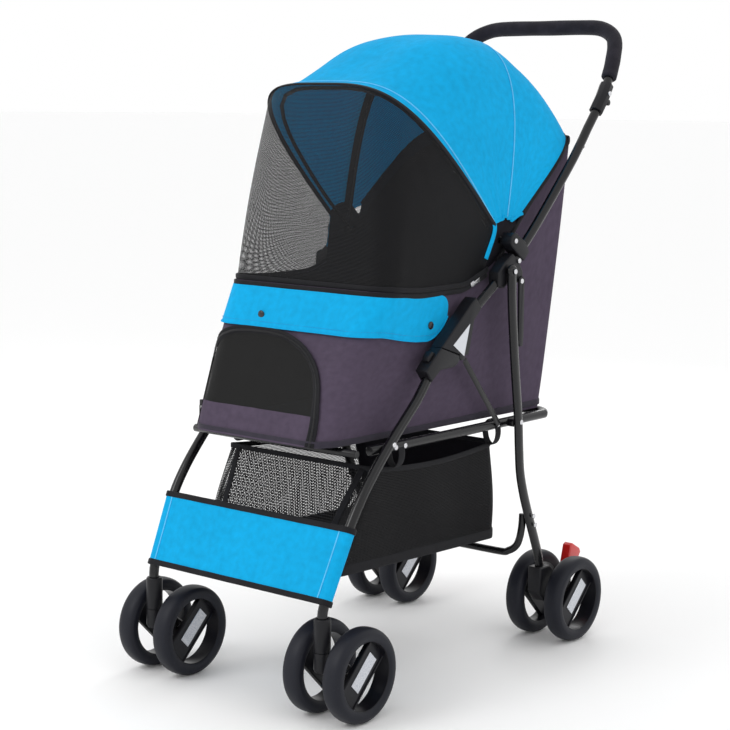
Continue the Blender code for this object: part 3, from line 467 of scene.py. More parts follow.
# ---- Brake pedals ------------------------------------------------------------------------------
# A red foot pedal over each rear wheel pair, moulded in glossy plastic, turns on a pin in the
# housing and pushes a peg into the wheel.
brake_red = skinned("brake_red", (0.60, 0.012, 0.010), (0.70, 0.10, 0.08), 0.28, 900, 0.05, coat=0.4)
for side in ("left", "right"):
    moulding("brake_pedal_" + side, "brake_pedal_moulding_" + side, brake_red,
             "brake_" + side, 0.0012)


# ---- Wheels ------------------------------------------------------------------------------------
# Eight wheels in pairs: a smooth foam rubber tyre on a black moulded rim. The rim has one broad
# sloping bar instead of spokes, hollowed on the inner face, and a reflector is glued to the outer face.
TYRE_HALF = 0.0159
BAR_SLOPE = math.radians(45)
tyre_foam = skinned("tyre_foam", (0.010, 0.011, 0.017), (0.026, 0.027, 0.033), 0.48, 500, 0.16,
                    unevenness=0.2, shine=0.22)
rim_plastic = skinned("rim_plastic", (0.006, 0.006, 0.009), (0.02, 0.02, 0.022), 0.34, 1600, 0.08,
                      shine=0.25)


def lathe(profile, steps, closed=True):
    """Points and faces of a (x, radius) outline turned about the X axis."""
    verts, faces = [], []
    for k in range(steps):
        turn = 2 * math.pi * k / steps
        verts += [(x, r * math.cos(turn), r * math.sin(turn)) for x, r in profile]
    size = len(profile)
    spans = size if closed else size - 1
    for k in range(steps):
        n = (k + 1) % steps
        for i in range(spans):
            j = (i + 1) % size
            faces.append((k * size + i, k * size + j, n * size + j, n * size + i))
    if not closed:
        faces.append(tuple(k * size for k in range(steps)))
        faces.append(tuple(k * size + size - 1 for k in range(steps)))
    return verts, faces


def tyre_outline():
    """Rounded tread and shoulders with a shallow mould line on each side."""
    points = []
    for k in range(25):
        turn = math.radians(-125 + 250 * k / 24)
        round_x = math.copysign(abs(math.sin(turn)) ** 0.80, turn) * TYRE_HALF
        round_r = 0.0585 + 0.0115 * math.copysign(abs(math.cos(turn)) ** 0.75, math.cos(turn))
        points.append((round_x, round_r))
    points[6] = (points[6][0] + 0.0006, points[6][1] - 0.0002)
    points[18] = (points[18][0] - 0.0006, points[18][1] - 0.0002)
    return points + [(0.0122, 0.0530), (-0.0122, 0.0530)]


def rim_outline():
    return [(-0.0128, 0.0548), (-0.0136, 0.0536), (-0.0136, 0.0512), (-0.0128, 0.0503), (-0.0060, 0.0497),
            (0.0060, 0.0497), (0.0128, 0.0503), (0.0136, 0.0512), (0.0136, 0.0536), (0.0128, 0.0548)]


def box_points(x0, x1, u0, u1, v0, v1, inset):
    """Closed bar with its long edges eased; u runs along the bar and v across it."""
    section = [(x0, v0 + inset), (x0 + inset, v0), (x1 - inset, v0), (x1, v0 + inset), (x1, v1 - inset),
               (x1 - inset, v1), (x0 + inset, v1), (x0, v1 - inset)]
    verts = [(x, u, v) for u in (u0, u1) for x, v in section]
    faces = [(k, (k + 1) % 8, 8 + (k + 1) % 8, 8 + k) for k in range(8)]
    return verts, faces + [tuple(range(8)), tuple(range(8, 16))]


def sloped(verts):
    c, s = math.cos(BAR_SLOPE), math.sin(BAR_SLOPE)
    return [(x, u * c - v * s, u * s + v * c) for x, u, v in verts]


def join_parts(parts):
    verts, faces = [], []
    for part_verts, part_faces in parts:
        base = len(verts)
        verts += part_verts
        faces += [tuple(base + i for i in face) for face in part_faces]
    return verts, faces


def wheel_rim():
    """Rim ring, the sloping bar with raised borders, and the hub boss on the inner side."""
    parts = [lathe(rim_outline(), 96)]
    reach = 0.0508
    for x0, x1, v0, v1 in ((-0.0042, 0.0030, -0.0210, 0.0210), (-0.0042, 0.0052, 0.0168, 0.0210),
                           (-0.0042, 0.0052, -0.0210, -0.0185)):
        verts, faces = box_points(x0, x1, -reach, reach, v0, v1, 0.0009)
        parts.append((sloped(verts), faces))
    parts.append(lathe([(-0.0135, 0.0046), (-0.0135, 0.0105), (-0.0125, 0.0118), (-0.0040, 0.0128),
                        (-0.0035, 0.0046)], 32))
    return join_parts(parts)


def reflector_plate():
    verts, faces = box_points(0.0030, 0.0042, -0.0235, 0.0345, -0.0117, 0.0088, 0.0006)
    return sloped(verts), faces


def build_reflector_material():
    """Pale prismatic reflector film: tiny cells under a clear face."""
    made, tree, shader = principled("reflector_film", (0.56, 0.58, 0.62), 0.22, 0.35, coat=0.6)
    place = put(tree, "ShaderNodeTexCoord").outputs["Object"]
    cells = put(tree, "ShaderNodeTexVoronoi", {"Vector": place, "Scale": 620.0})
    shade = put(tree, "ShaderNodeValToRGB", {"Fac": cells.outputs["Distance"]})
    shade.color_ramp.elements[0].color = (0.70, 0.72, 0.76, 1)
    shade.color_ramp.elements[1].color = (0.40, 0.42, 0.47, 1)
    dress(tree, shader, cells.outputs["Distance"], 0.25, 0.0003, Base_Color=shade.outputs["Color"])
    return made


reflector_film = build_reflector_material()
rivet_steel = skinned("rivet_steel", (0.66, 0.66, 0.68), (0.40, 0.40, 0.42), 0.26, 900, 0.05, metallic=1.0)


def placed(part, x, y, z, facing):
    """A part's points moved to a wheel's middle, turned half round where the wheel faces left."""
    verts, faces = part
    return [(x + facing * vx, y + facing * vy, z + vz) for vx, vy, vz in verts], faces


for end in ("front", "rear"):
    for side, sign in SIDES:
        for position, facing in (("outer", sign), ("inner", -sign)):
            place = "%s_%s_%s" % (end, side, position)
            low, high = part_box("tyre_" + place)
            middle = (low + high) / 2
            parts = [("tyre_skin_", lathe(tyre_outline(), 96), tyre_foam, "tyre", "tyre_" + place),
                     ("rim_moulding_", wheel_rim(), rim_plastic, "wheel_plastic", "rim_" + place),
                     ("reflector_", reflector_plate(), reflector_film, None, None),
                     ("axle_cap_", lathe([(-0.0152, 0.0), (-0.0152, 0.0030), (-0.0142, 0.0048),
                                          (-0.0130, 0.0050), (-0.0130, 0.0)], 20, False),
                      rivet_steel, "bright_steel", None)]
            for prefix, part, material, slot, stands_for in parts:
                verts, faces = placed(part, *middle, facing)
                piece = add_mesh(prefix + place, verts, faces, material, 35)
                settle(piece, "wheel_" + place, stands_for)
        nodes["axle_%s_%s" % (end, side)].data.materials.clear()
        nodes["axle_%s_%s" % (end, side)].data.materials.append(rivet_steel)


# ---- Rivets and studs --------------------------------------------------------------------------
# Zinc plated steel rivets with domed heads hold the mouldings to the tubes. The same tree sets
# snaps, stitches and zipper teeth on the cloth: a flattened ball on each point, turned to its face.
def build_fixing_tree():
    """Geometry tree that puts one small domed piece on every point of a mesh."""
    tree = bpy.data.node_groups.new("fixings_on_points", "GeometryNodeTree")
    face = tree.interface
    face.new_socket(name="Points", in_out="INPUT", socket_type="NodeSocketGeometry")
    for label, default in (("Length", 0.008), ("Width", 0.008), ("Height", 0.003)):
        face.new_socket(name=label, in_out="INPUT", socket_type="NodeSocketFloat").default_value = default
    face.new_socket(name="Material", in_out="INPUT", socket_type="NodeSocketMaterial")
    face.new_socket(name="Geometry", in_out="OUTPUT", socket_type="NodeSocketGeometry")
    given = tree.nodes.new("NodeGroupInput").outputs
    out = tree.nodes.new("NodeGroupOutput").inputs
    ball = put(tree, "GeometryNodeMeshUVSphere", {"Segments": 14, "Rings": 8, "Radius": 0.5})
    outward = put(tree, "GeometryNodeInputNamedAttribute", {"Name": "out"}, data_type="FLOAT_VECTOR")
    along = put(tree, "GeometryNodeInputNamedAttribute", {"Name": "along"}, data_type="FLOAT_VECTOR")
    upright = put(tree, "FunctionNodeAlignRotationToVector", {"Vector": outward.outputs[0]}, axis="Z")
    turned = put(tree, "FunctionNodeAlignRotationToVector",
                 {"Rotation": upright.outputs[0], "Vector": along.outputs[0]}, axis="X", pivot_axis="Z")
    size = put(tree, "ShaderNodeCombineXYZ",
               {"X": given["Length"], "Y": given["Width"], "Z": given["Height"]})
    copies = put(tree, "GeometryNodeInstanceOnPoints",
                 {"Points": given["Points"], "Instance": ball.outputs["Mesh"],
                  "Rotation": turned.outputs[0], "Scale": size.outputs[0]})
    real = put(tree, "GeometryNodeRealizeInstances", {"Geometry": copies.outputs[0]})
    painted = put(tree, "GeometryNodeSetMaterial", {"Geometry": real.outputs[0],
                                                    "Material": given["Material"]})
    tree.links.new(painted.outputs[0], out["Geometry"])
    return tree


fixing_tree = build_fixing_tree()


def fixings(name, spots, size, material, body):
    """One mesh of small domed pieces at (place, outward, along) spots, riding one body."""
    mesh = bpy.data.meshes.new(name)
    mesh.from_pydata([tuple(s[0]) for s in spots], [], [])
    for label, k in (("out", 1), ("along", 2)):
        layer = mesh.attributes.new(label, "FLOAT_VECTOR", "POINT")
        layer.data.foreach_set("vector", np.array([s[k] for s in spots], float).ravel())
    piece = add_object(name, mesh)
    modifier = piece.modifiers.new("fixings", "NODES")
    modifier.node_group = fixing_tree
    keys = {s.name: s.identifier for s in fixing_tree.interface.items_tree if s.in_out == "INPUT"}
    for label, value in (("Length", size[0]), ("Width", size[1]), ("Height", size[2]),
                         ("Material", material)):
        modifier[keys[label]] = value
    graph = bpy.context.evaluated_depsgraph_get()
    made = bpy.data.meshes.new_from_object(piece.evaluated_get(graph))
    piece.modifiers.clear()
    piece.data = made
    made.shade_smooth()
    return settle(piece, body)


def face_spots(points, sign):
    """Rivet spots on faces that look outwards to one side."""
    return [((sign * x, y, z), (sign, 0, 0), (0, 1, 0)) for x, y, z in points]


RIVETS = {"front_frame": [(0.1850, -0.2415, 0.3870)],
          "handle_frame": [(0.1895, 0.0600, 0.6380), (0.1887, 0.0509, 0.6692), (0.1890, 0.3105, 0.8985)],
          "rear_frame": [(0.2022, 0.0320, 0.6235), (0.1923, 0.0720, 0.3810), (0.1885, 0.1194, 0.2206),
                         (0.1876, 0.1259, 0.2045)],
          "seat": [(0.1696, -0.2180, 0.3780), (0.1696, -0.1960, 0.3780), (0.1696, 0.0400, 0.3785)]}
HOOK_RIVET = (0.1925, 0.0640, 0.6060)
for body, points in RIVETS.items():
    hook = [HOOK_RIVET] if body == "rear_frame" else []
    spots = face_spots(points + hook, 1) + face_spots(points, -1)
    fixings("rivets_" + body, spots, (0.0085, 0.0085, 0.0040), rivet_steel, body)
STUDS = [(0.1773, 0.1365, 0.6955), (0.1773, 0.2495, 0.8120)]
spots = [((s * x, y, z), (0, 0.75, -0.66), (1, 0, 0)) for x, y, z in STUDS for s in (-1, 1)]
fixings("handle_studs", spots, (0.0080, 0.0080, 0.0060), black_nylon, "handle_frame")


# ---- Foam grip ---------------------------------------------------------------------------------
# A sleeve of closed-cell foam, 26 mm thick, is pushed over the handle from one end to the other.
# It is soft, with square-cut ends and the slight waves of a hand-fitted sleeve.
def build_foam_material():
    made, tree, shader = principled("grip_foam", (0.014, 0.013, 0.019), 0.82, sheen=0.08, shine=0.15)
    place = put(tree, "ShaderNodeTexCoord").outputs["Object"]
    cells = put(tree, "ShaderNodeTexVoronoi", {"Vector": place, "Scale": 1500.0})
    wear = put(tree, "ShaderNodeTexNoise", {"Vector": place, "Scale": 45.0, "Detail": 4.0})
    shade = put(tree, "ShaderNodeValToRGB", {"Fac": wear.outputs[0]})
    first, last = shade.color_ramp.elements
    first.position, first.color = 0.35, (0.010, 0.009, 0.014, 1)
    last.position, last.color = 0.75, (0.020, 0.018, 0.026, 1)
    dress(tree, shader, cells.outputs["Distance"], 0.4, 0.0005, Base_Color=shade.outputs["Color"])
    return made


grip_foam = build_foam_material()
grip_line = [p for p in curve_through(handle_line, 6) if p[2] > 0.9240]
grip = sweep("foam_grip", spaced(grip_line, 220), 0.0128, 0.0128, grip_foam, around=32)
for vertex in grip.data.vertices:
    x, y, z = vertex.co
    middle = min(grip_line, key=lambda p: (p[0] - x) ** 2 + (p[1] - y) ** 2 + (p[2] - z) ** 2)
    swell = 1 + 0.012 * math.sin(x * 70) + 0.008 * math.sin(z * 190 + y * 60)
    vertex.co = Vector(middle) + (vertex.co - Vector(middle)) * swell
settle(grip, "handle_frame", "handle_grip")


# ---- Cabin tub ---------------------------------------------------------------------------------
# The cabin is a sewn tub of grey polyester oxford cloth on the seat rails, with a near-black lining that is
# painted shade for its inside. Its nose slopes, its top edge carries a zipper, and a bound hem runs round
# its foot.
FLOOR_Z = 0.3870
SIDE_EDGE = [(-0.2340, 0.6110), (-0.1500, 0.6040), (-0.0400, 0.6050), (0.0250, 0.6280),
             (0.0620, 0.6500), (0.0950, 0.6900), (0.2450, 0.8270), (0.2560, 0.8300)]
EDGE_Y = np.linspace(-0.2340, 0.2560, 200)
edge_raw = np.interp(EDGE_Y, [p[0] for p in SIDE_EDGE], [p[1] for p in SIDE_EDGE])
EDGE_Z = np.convolve(np.pad(edge_raw, 6, mode="edge"), np.ones(13) / 13, mode="valid")


def plan_outline(front, rear, half_front, half_rear, front_r, rear_r):
    """Half outline with round corners, from the middle of the front to the middle of the rear."""
    points = [((half_front - front_r) * k / 20, front) for k in range(20)]
    for k in range(17):
        turn = math.radians(-90 + 90 * k / 16)
        points.append((half_front - front_r + front_r * math.cos(turn),
                       front + front_r + front_r * math.sin(turn)))
    x0, y0 = points[-1]
    for k in range(1, 60):
        points.append((x0 + (half_rear - x0) * k / 60, y0 + (rear - rear_r - y0) * k / 60))
    for k in range(11):
        turn = math.radians(90 * k / 10)
        points.append((half_rear - rear_r + rear_r * math.cos(turn),
                       rear - rear_r + rear_r * math.sin(turn)))
    points += [((half_rear - rear_r) * (1 - k / 20), rear) for k in range(1, 21)]
    return np.array(points)


low_plan = plan_outline(-0.3480, 0.1960, 0.1360, 0.1500, 0.045, 0.025)
high_plan = plan_outline(-0.2340, 0.2560, 0.1570, 0.1570, 0.038, 0.020)
middle_plan = (low_plan + high_plan) / 2
travel = distances(middle_plan)
HALF_ROUND = float(travel[-1])


def wall_point(along, level, out=0.0):
    """Point of the wall: metres round from the middle of the front, and 0 at its foot to 1 at its top."""
    along = (along + HALF_ROUND) % (2 * HALF_ROUND) - HALF_ROUND
    place = np.interp(abs(along), travel, np.arange(len(travel)))
    ends = []
    for plan in (low_plan, high_plan):
        ends.append([np.interp(place, np.arange(len(travel)), plan[:, k]) for k in range(2)])
    (x0, y0), (x1, y1) = ends
    step = middle_plan[min(int(place) + 1, len(travel) - 1)] - middle_plan[max(int(place) - 1, 0)]
    ny, nx = -step[0], step[1]
    size = math.hypot(nx, ny)
    top = float(np.interp(y1, EDGE_Y, EDGE_Z))
    bulge = 0.0030 * math.sin(math.pi * level) * math.sin(math.pi * min(1.0, abs(along) / 0.25) * 0.5)
    bulge += 0.0009 * math.sin(along * 47 + 2.1 * level) * math.sin(math.pi * level)
    bulge += 0.0006 * math.sin(along * 131 + 5 * level) * (1 - level) * min(1.0, level * 8)
    out += bulge
    x = x0 + (x1 - x0) * level + nx / size * out
    y = y0 + (y1 - y0) * level + ny / size * out
    return np.array((math.copysign(x, along), y, FLOOR_Z + (top - FLOOR_Z) * level))


DOOR_TOP, DOOR_CREST = 0.668, -0.050
DOOR = [(0.1232, -0.02), (0.1190, 0.10), (0.1110, 0.225), (0.0990, 0.345), (0.0820, 0.450), (0.0600, 0.535),
        (0.0350, 0.602), (0.0030, 0.650), (-0.0230, 0.665), (DOOR_CREST, DOOR_TOP), (-0.0800, 0.664),
        (-0.1060, 0.644), (-0.1290, 0.590), (-0.1430, 0.500), (-0.1485, 0.380), (-0.1490, 0.240),
        (-0.1480, 0.100), (-0.1470, -0.02)]
door_line = [(p[0], p[1]) for p in curve_through([(s, l, 0) for s, l in DOOR], 6)]


def door_sides(level):
    """Where the door's zipper runs at a level: its left and its right leg."""
    right = [p for p in door_line if p[0] >= DOOR_CREST]
    left = [p for p in door_line if p[0] <= DOOR_CREST][::-1]
    return [float(np.interp(level, [p[1] for p in side], [p[0] for p in side])) for side in (left, right)]


def in_door(along, level):
    """Whether a place on the wall is inside the door's zipper."""
    if level > DOOR_TOP:
        return False
    left, right = door_sides(level)
    return left < along < right


def cloth_sheet(name, rows, material, closed=False, keep=None):
    """Open sheet from rows of points, with a UV map in metres; `keep` picks its cells."""
    grid = np.array(rows, float)
    count, width = grid.shape[:2]
    across = np.linalg.norm(np.diff(grid, axis=1), axis=2).mean(axis=0)
    down = np.linalg.norm(np.diff(grid, axis=0), axis=2).mean(axis=1)
    if closed:
        across = np.append(across, np.linalg.norm(grid[:, 0] - grid[:, -1], axis=1).mean())
    u_at = np.concatenate([[0], np.cumsum(across)])
    v_at = np.concatenate([[0], np.cumsum(down)])
    faces, corners = [], []
    for i in range(count - 1):
        for k in range(width if closed else width - 1):
            if keep and not keep(i, k):
                continue
            n = (k + 1) % width
            faces.append((i * width + k, i * width + n, (i + 1) * width + n, (i + 1) * width + k))
            corners += [(u_at[k], v_at[i]), (u_at[k + 1], v_at[i]), (u_at[k + 1], v_at[i + 1]),
                        (u_at[k], v_at[i + 1])]
    mesh = bpy.data.meshes.new(name)
    mesh.from_pydata([tuple(p) for p in grid.reshape(-1, 3)], [], faces)
    layer = mesh.uv_layers.new(name="cloth")
    layer.data.foreach_set("uv", np.array(corners, float).ravel())
    bm = bmesh.new()
    bm.from_mesh(mesh)
    bmesh.ops.delete(bm, geom=[v for v in bm.verts if not v.link_faces], context="VERTS")
    bm.to_mesh(mesh)
    bm.free()
    mesh.shade_smooth()
    mesh.materials.append(material)
    return add_object(name, mesh)


def strip(name, line, facing, half_width, half_thick, material, closed=False):
    """Flat tape with rounded edges along a line, its faces turned to `facing` at each point."""
    pts = np.array(line, float)
    verts, uvs = [], []
    size = 12
    travelled = distances(pts)
    for point, tangent, out in zip(pts, directions(pts, closed), facing):
        normal = np.array(out, float) - tangent * (np.array(out, float) @ tangent)
        normal /= np.linalg.norm(normal)
        across = np.cross(tangent, normal)
        for k in range(size):
            turn = 2 * math.pi * (k + 0.5) / size
            wide = math.copysign(abs(math.cos(turn)) ** 0.45, math.cos(turn))
            verts.append(point + across * half_width * wide + normal * half_thick * math.sin(turn))
    rows = len(pts)
    faces = skin_faces(rows, size, closed)
    for i in range(rows if closed else rows - 1):
        end = travelled[i + 1] if i + 1 < rows else travelled[-1] + 0.004
        for k in range(size):
            low, high = k * half_width / 3, (k + 1) * half_width / 3
            uvs += [(travelled[i], low), (travelled[i], high), (end, high), (end, low)]
    if not closed:
        faces += [tuple(range(size)), tuple(range((rows - 1) * size, rows * size))]
        uvs += [(0, 0)] * (2 * size)
    mesh = bpy.data.meshes.new(name)
    mesh.from_pydata([tuple(v) for v in verts], [], faces)
    mesh.uv_layers.new(name="cloth").data.foreach_set("uv", np.array(uvs, float).ravel())
    bm = bmesh.new()
    bm.from_mesh(mesh)
    bmesh.ops.recalc_face_normals(bm, faces=bm.faces)
    bm.to_mesh(mesh)
    bm.free()
    mesh.shade_smooth()
    mesh.materials.append(material)
    return add_object(name, mesh)


def build_weave_group():
    """Plain weave: crossing threads as a height, and their tone, from a UV map in metres."""
    tree, given, out = start_group("plain_weave", [("UV", "NodeSocketVector", None),
                                                   ("Threads", "NodeSocketFloat", 1100.0)],
                                   [("Height", "NodeSocketFloat"), ("Tone", "NodeSocketFloat")])
    scaled = put(tree, "ShaderNodeVectorMath", {0: given["UV"], "Scale": given["Threads"]},
                 operation="SCALE")
    split = put(tree, "ShaderNodeSeparateXYZ", {0: scaled.outputs[0]})
    waves = []
    for k in range(2):
        turned = calculate(tree, "MULTIPLY", split.outputs[k], math.pi)
        waves.append(calculate(tree, "SINE", turned))
    crossing = calculate(tree, "MULTIPLY", *waves)
    slub = put(tree, "ShaderNodeTexNoise", {"Vector": given["UV"], "Scale": 90.0, "Detail": 4.0})
    tone = put(tree, "ShaderNodeMapRange", {"Value": slub.outputs[0], "From Min": 0.3, "From Max": 0.7,
                                            "To Min": 0.90, "To Max": 1.10})
    tree.links.new(crossing, out["Height"])
    tree.links.new(tone.outputs[0], out["Tone"])
    return tree


plain_weave = build_weave_group()


def woven(name, colour, roughness, threads=1100.0, bump=0.25, sheen=0.3, faded=1.12, painted_glow=0.0):
    """Woven cloth on the shared weave group, faded in soft patches; its last argument paints light as an
    emitted glow.
    """
    made, tree, shader = principled(name, colour, roughness, sheen=sheen, shine=0.15)
    # Painted light: the cloth emits light in its own colour, a glow that stands in for light coming through
    # it.
    shader.inputs["Emission Color"].default_value = (*colour, 1.0)
    shader.inputs["Emission Strength"].default_value = painted_glow
    uv = put(tree, "ShaderNodeUVMap", uv_map="cloth")
    weave = put(tree, "ShaderNodeGroup", {}, node_tree=plain_weave)
    weave.inputs["Threads"].default_value = threads
    tree.links.new(uv.outputs[0], weave.inputs["UV"])
    place = put(tree, "ShaderNodeTexCoord").outputs["Object"]
    cloud = put(tree, "ShaderNodeTexNoise", {"Vector": place, "Scale": 9.0, "Detail": 3.0})
    patch = put(tree, "ShaderNodeMapRange", {"Value": cloud.outputs[0], "From Min": 0.35, "From Max": 0.70,
                                             "To Min": 1.0, "To Max": faded})
    level = calculate(tree, "MULTIPLY", patch.outputs[0], weave.outputs["Tone"])
    shade = put(tree, "ShaderNodeVectorMath", {0: colour, "Scale": level}, operation="SCALE")
    dress(tree, shader, weave.outputs["Height"], bump, 0.0003, Base_Color=shade.outputs[0])
    return made


grey_cloth = woven("grey_oxford", (0.066, 0.050, 0.078), 0.85, sheen=0.0)
hem_cloth = woven("hem_tape", (0.030, 0.026, 0.038), 0.85, sheen=0.1)
# Near-black cloth for the basket, the canopy's skirt and gussets and the tub's floor; as the tub's lining it
# is painted shade.
lining_and_shade_cloth = woven("black_lining_and_painted_shade", (0.011, 0.010, 0.014), 0.88, sheen=0.0)
black_tape = woven("black_webbing", (0.008, 0.008, 0.010), 0.72, 1500.0, 0.4, 0.05)

STEPS, LEVELS = 440, 60
arcs = [-HALF_ROUND + 2 * HALF_ROUND * k / STEPS for k in range(STEPS)]
tub_rows = [[wall_point(s, i / LEVELS) for s in arcs] for i in range(LEVELS + 1)]


def outside_door(i, k):
    """Whether a cell of the wall is cloth and not the door."""
    return not in_door(arcs[k] + HALF_ROUND / STEPS, (i + 0.5) / LEVELS)


def gathers(piece):
    """Gives the piece its own copy of its mesh."""
    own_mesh(piece)
    return piece


def on_seat(piece):
    return gathers(settle(piece, "seat"))


tub = cloth_sheet("cabin_wall", tub_rows, grey_cloth, True, outside_door)
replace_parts(on_seat(tub), "cabin_tub")
# Lining sheet just inside the wall: near-black cloth that paints the shade inside the tub, darker than its
# grey cloth.
shade_lining_rows = [[wall_point(s, 0.02 + 0.975 * i / 20, -0.0022) for s in arcs[::2]] for i in range(21)]
shade_lining = cloth_sheet("cabin_painted_shade_lining", shade_lining_rows, lining_and_shade_cloth, True,
                     lambda i, k: not in_door(arcs[2 * k] + HALF_ROUND / STEPS, (i + 0.5) / 20))
on_seat(shade_lining)
BASE_MIDDLE = np.array((0, -0.06))
base_rows = []
for i in range(13):
    inner = i / 12
    base_rows.append([np.array((*(wall_point(s, 0.0)[:2] * (1 - inner) + BASE_MIDDLE * inner),
                                FLOOR_Z + 0.0004)) for s in arcs[::4]])
base_sheet = cloth_sheet("cabin_base", base_rows, lining_and_shade_cloth, True)
on_seat(base_sheet)


def wall_strip(name, places, half_width, half_thick, material, out=0.0014, closed=False):
    """Tape sewn on the wall along (along, level) places."""
    line = [wall_point(s, l, out) for s, l in places]
    facing = [wall_point(s, l, out + 0.01) - p for (s, l), p in zip(places, line)]
    return strip(name, line, facing, half_width, half_thick, material, closed)


hem = wall_strip("cabin_hem", [(s, 0.022) for s in arcs], 0.0048, 0.0013, hem_cloth, 0.0008, True)
rim_ridges = []
rim_steps = [s for s in arcs if abs(s) < 0.395]
for k, (level, half) in enumerate(((1.000, 0.0042), (0.962, 0.0040))):
    ridge = wall_strip("rim_tape_%d" % k, [(s, level) for s in rim_steps], half, 0.0019, black_tape, 0.0018)
    rim_ridges.append(on_seat(ridge))
back_steps = [HALF_ROUND * (1 + k / 220) for k in range(-103, 104)]
back_tape = wall_strip("back_edge_tape", [(s, 0.995) for s in back_steps], 0.0040, 0.0012, black_tape,
                       0.0002)
on_seat(hem)
on_seat(back_tape)


# ---- Door net and its zipper -------------------------------------------------------------------
# The nose of the tub has an arched door of black net with a grey cloth band at its foot. A nylon
# coil zipper runs round it, with its pull at the foot.
def build_net_group():
    """Knitted net: hexagonal rows of round holes, from a UV map in metres."""
    tree, given, out = start_group("knitted_net", [("UV", "NodeSocketVector", None),
                                                   ("Pitch", "NodeSocketFloat", 0.002),
                                                   ("Openness", "NodeSocketFloat", 0.5)],
                                   [("Thread", "NodeSocketFloat"), ("Height", "NodeSocketFloat")])
    split = put(tree, "ShaderNodeSeparateXYZ", {0: given["UV"]})
    rate = calculate(tree, "DIVIDE", 4 * math.pi / math.sqrt(3), given["Pitch"])
    waves = []
    for a, b in ((0.0, 1.0), (math.sqrt(3) / 2, 0.5), (-math.sqrt(3) / 2, 0.5)):
        first = calculate(tree, "MULTIPLY", split.outputs[0], a)
        both = calculate(tree, "MULTIPLY_ADD", split.outputs[1], b, first)
        turned = calculate(tree, "MULTIPLY", both, rate)
        waves.append(calculate(tree, "COSINE", turned))
    total = calculate(tree, "ADD", calculate(tree, "ADD", *waves[:2]), waves[2])
    edge = put(tree, "ShaderNodeMapRange", {"Value": given["Openness"], "From Min": 0.0, "From Max": 1.0,
                                            "To Min": 3.0, "To Max": -1.5})
    past = calculate(tree, "SUBTRACT", total, edge.outputs[0])
    thread = put(tree, "ShaderNodeMapRange", {"Value": past, "From Min": -0.15, "From Max": 0.15,
                                              "To Min": 1.0, "To Max": 0.0})
    tree.links.new(thread.outputs[0], out["Thread"])
    tree.links.new(thread.outputs[0], out["Height"])
    return tree


knitted_net = build_net_group()


def netting(name, colour, pitch, openness, roughness=0.6):
    made, tree, shader = principled(name, colour, roughness, shine=0.2)
    uv = put(tree, "ShaderNodeUVMap", uv_map="cloth")
    net = put(tree, "ShaderNodeGroup", {}, node_tree=knitted_net)
    net.inputs["Pitch"].default_value = pitch
    net.inputs["Openness"].default_value = openness
    tree.links.new(uv.outputs[0], net.inputs["UV"])
    dress(tree, shader, net.outputs["Height"], 0.5, 0.0003, Alpha=net.outputs["Thread"])
    return made


door_net = netting("door_net", (0.005, 0.005, 0.005), 0.0016, 0.30)
BAND_TOP, DOOR_FOOT, WALL_RISE = 0.190, 0.004, 0.22


def door_rows(top, count, out):
    """Rows of points between the door's two legs, from its foot up to a level."""
    rows = []
    for i in range(count + 1):
        level = DOOR_FOOT + (top - DOOR_FOOT) * i / count
        left, right = door_sides(level)
        rows.append([wall_point(left + (right - left) * k / 48, level, out) for k in range(49)])
    return rows


door = on_seat(cloth_sheet("door_net_panel", door_rows(DOOR_TOP, 30, 0.0004), door_net))
band = on_seat(cloth_sheet("door_band", door_rows(BAND_TOP, 8, 0.0012), grey_cloth))
zip_places = [(s, max(l, DOOR_FOOT) * WALL_RISE, 0) for s, l in door_line if l > -0.005]
zip_places = [(p[0], p[1] / WALL_RISE) for p in spaced(zip_places, 260)]
zip_tape = wall_strip("door_zipper_tape", zip_places, 0.0072, 0.0009, black_tape, 0.0018)
on_seat(zip_tape)
zip_black = skinned("zipper_nylon", (0.012, 0.012, 0.014), (0.03, 0.03, 0.03), 0.35, 3000, 0.1)


def teeth(name, line, facing, body, material):
    """Nylon zipper coil: one small ridge across the tape every 1.6 mm."""
    count = int(sum(np.linalg.norm(b - a) for a, b in zip(line, line[1:])) / 0.0016)
    places = spaced(line, count)
    outs = spaced(facing, count)
    spots = []
    for k, (place, out) in enumerate(zip(places, outs)):
        ahead = places[min(k + 1, count - 1)] - places[max(k - 1, 0)]
        spots.append((place, out, np.cross(out, ahead)))
    return fixings(name, spots, (0.0042, 0.0011, 0.0016), material, body)


zip_line = [wall_point(s, l, 0.0030) for s, l in zip_places]
zip_out = [(wall_point(s, l, 0.0130) - p) * 100 for (s, l), p in zip(zip_places, zip_line)]
door_teeth = gathers(teeth("door_zipper_teeth", zip_line, zip_out, "seat", zip_black))


def pull_tab(name, top, down, out, material, length):
    """Zipper slider with its flat tapered pull."""
    top, down, out = (np.array(v, float) for v in (top, down, out))
    down /= np.linalg.norm(down)
    out = out - down * (out @ down)
    out /= np.linalg.norm(out)
    side = np.cross(down, out)
    sides = [(0, 1, 2, 3), (4, 5, 6, 7), (0, 1, 5, 4), (1, 2, 6, 5), (2, 3, 7, 6), (3, 0, 4, 7)]
    parts = []
    for (t0, t1, w0, w1, thick, lift) in ((-0.006, 0.003, 0.0034, 0.0040, 0.0022, 0.0),
                                          (0.002, length, 0.0020, 0.0032, 0.0008, 0.0022)):
        verts = []
        for t, w in ((t0, w0), (t1, w1)):
            for a, b in ((-1, -1), (-1, 1), (1, 1), (1, -1)):
                verts.append(top + down * t + side * w * a + out * (lift + thick * b))
        parts.append((verts, sides))
    verts, faces = join_parts(parts)
    piece = add_mesh(name, verts, faces, material)
    rounding = piece.modifiers.new("rounding", "BEVEL")
    rounding.width, rounding.segments = 0.0005, 2
    return piece


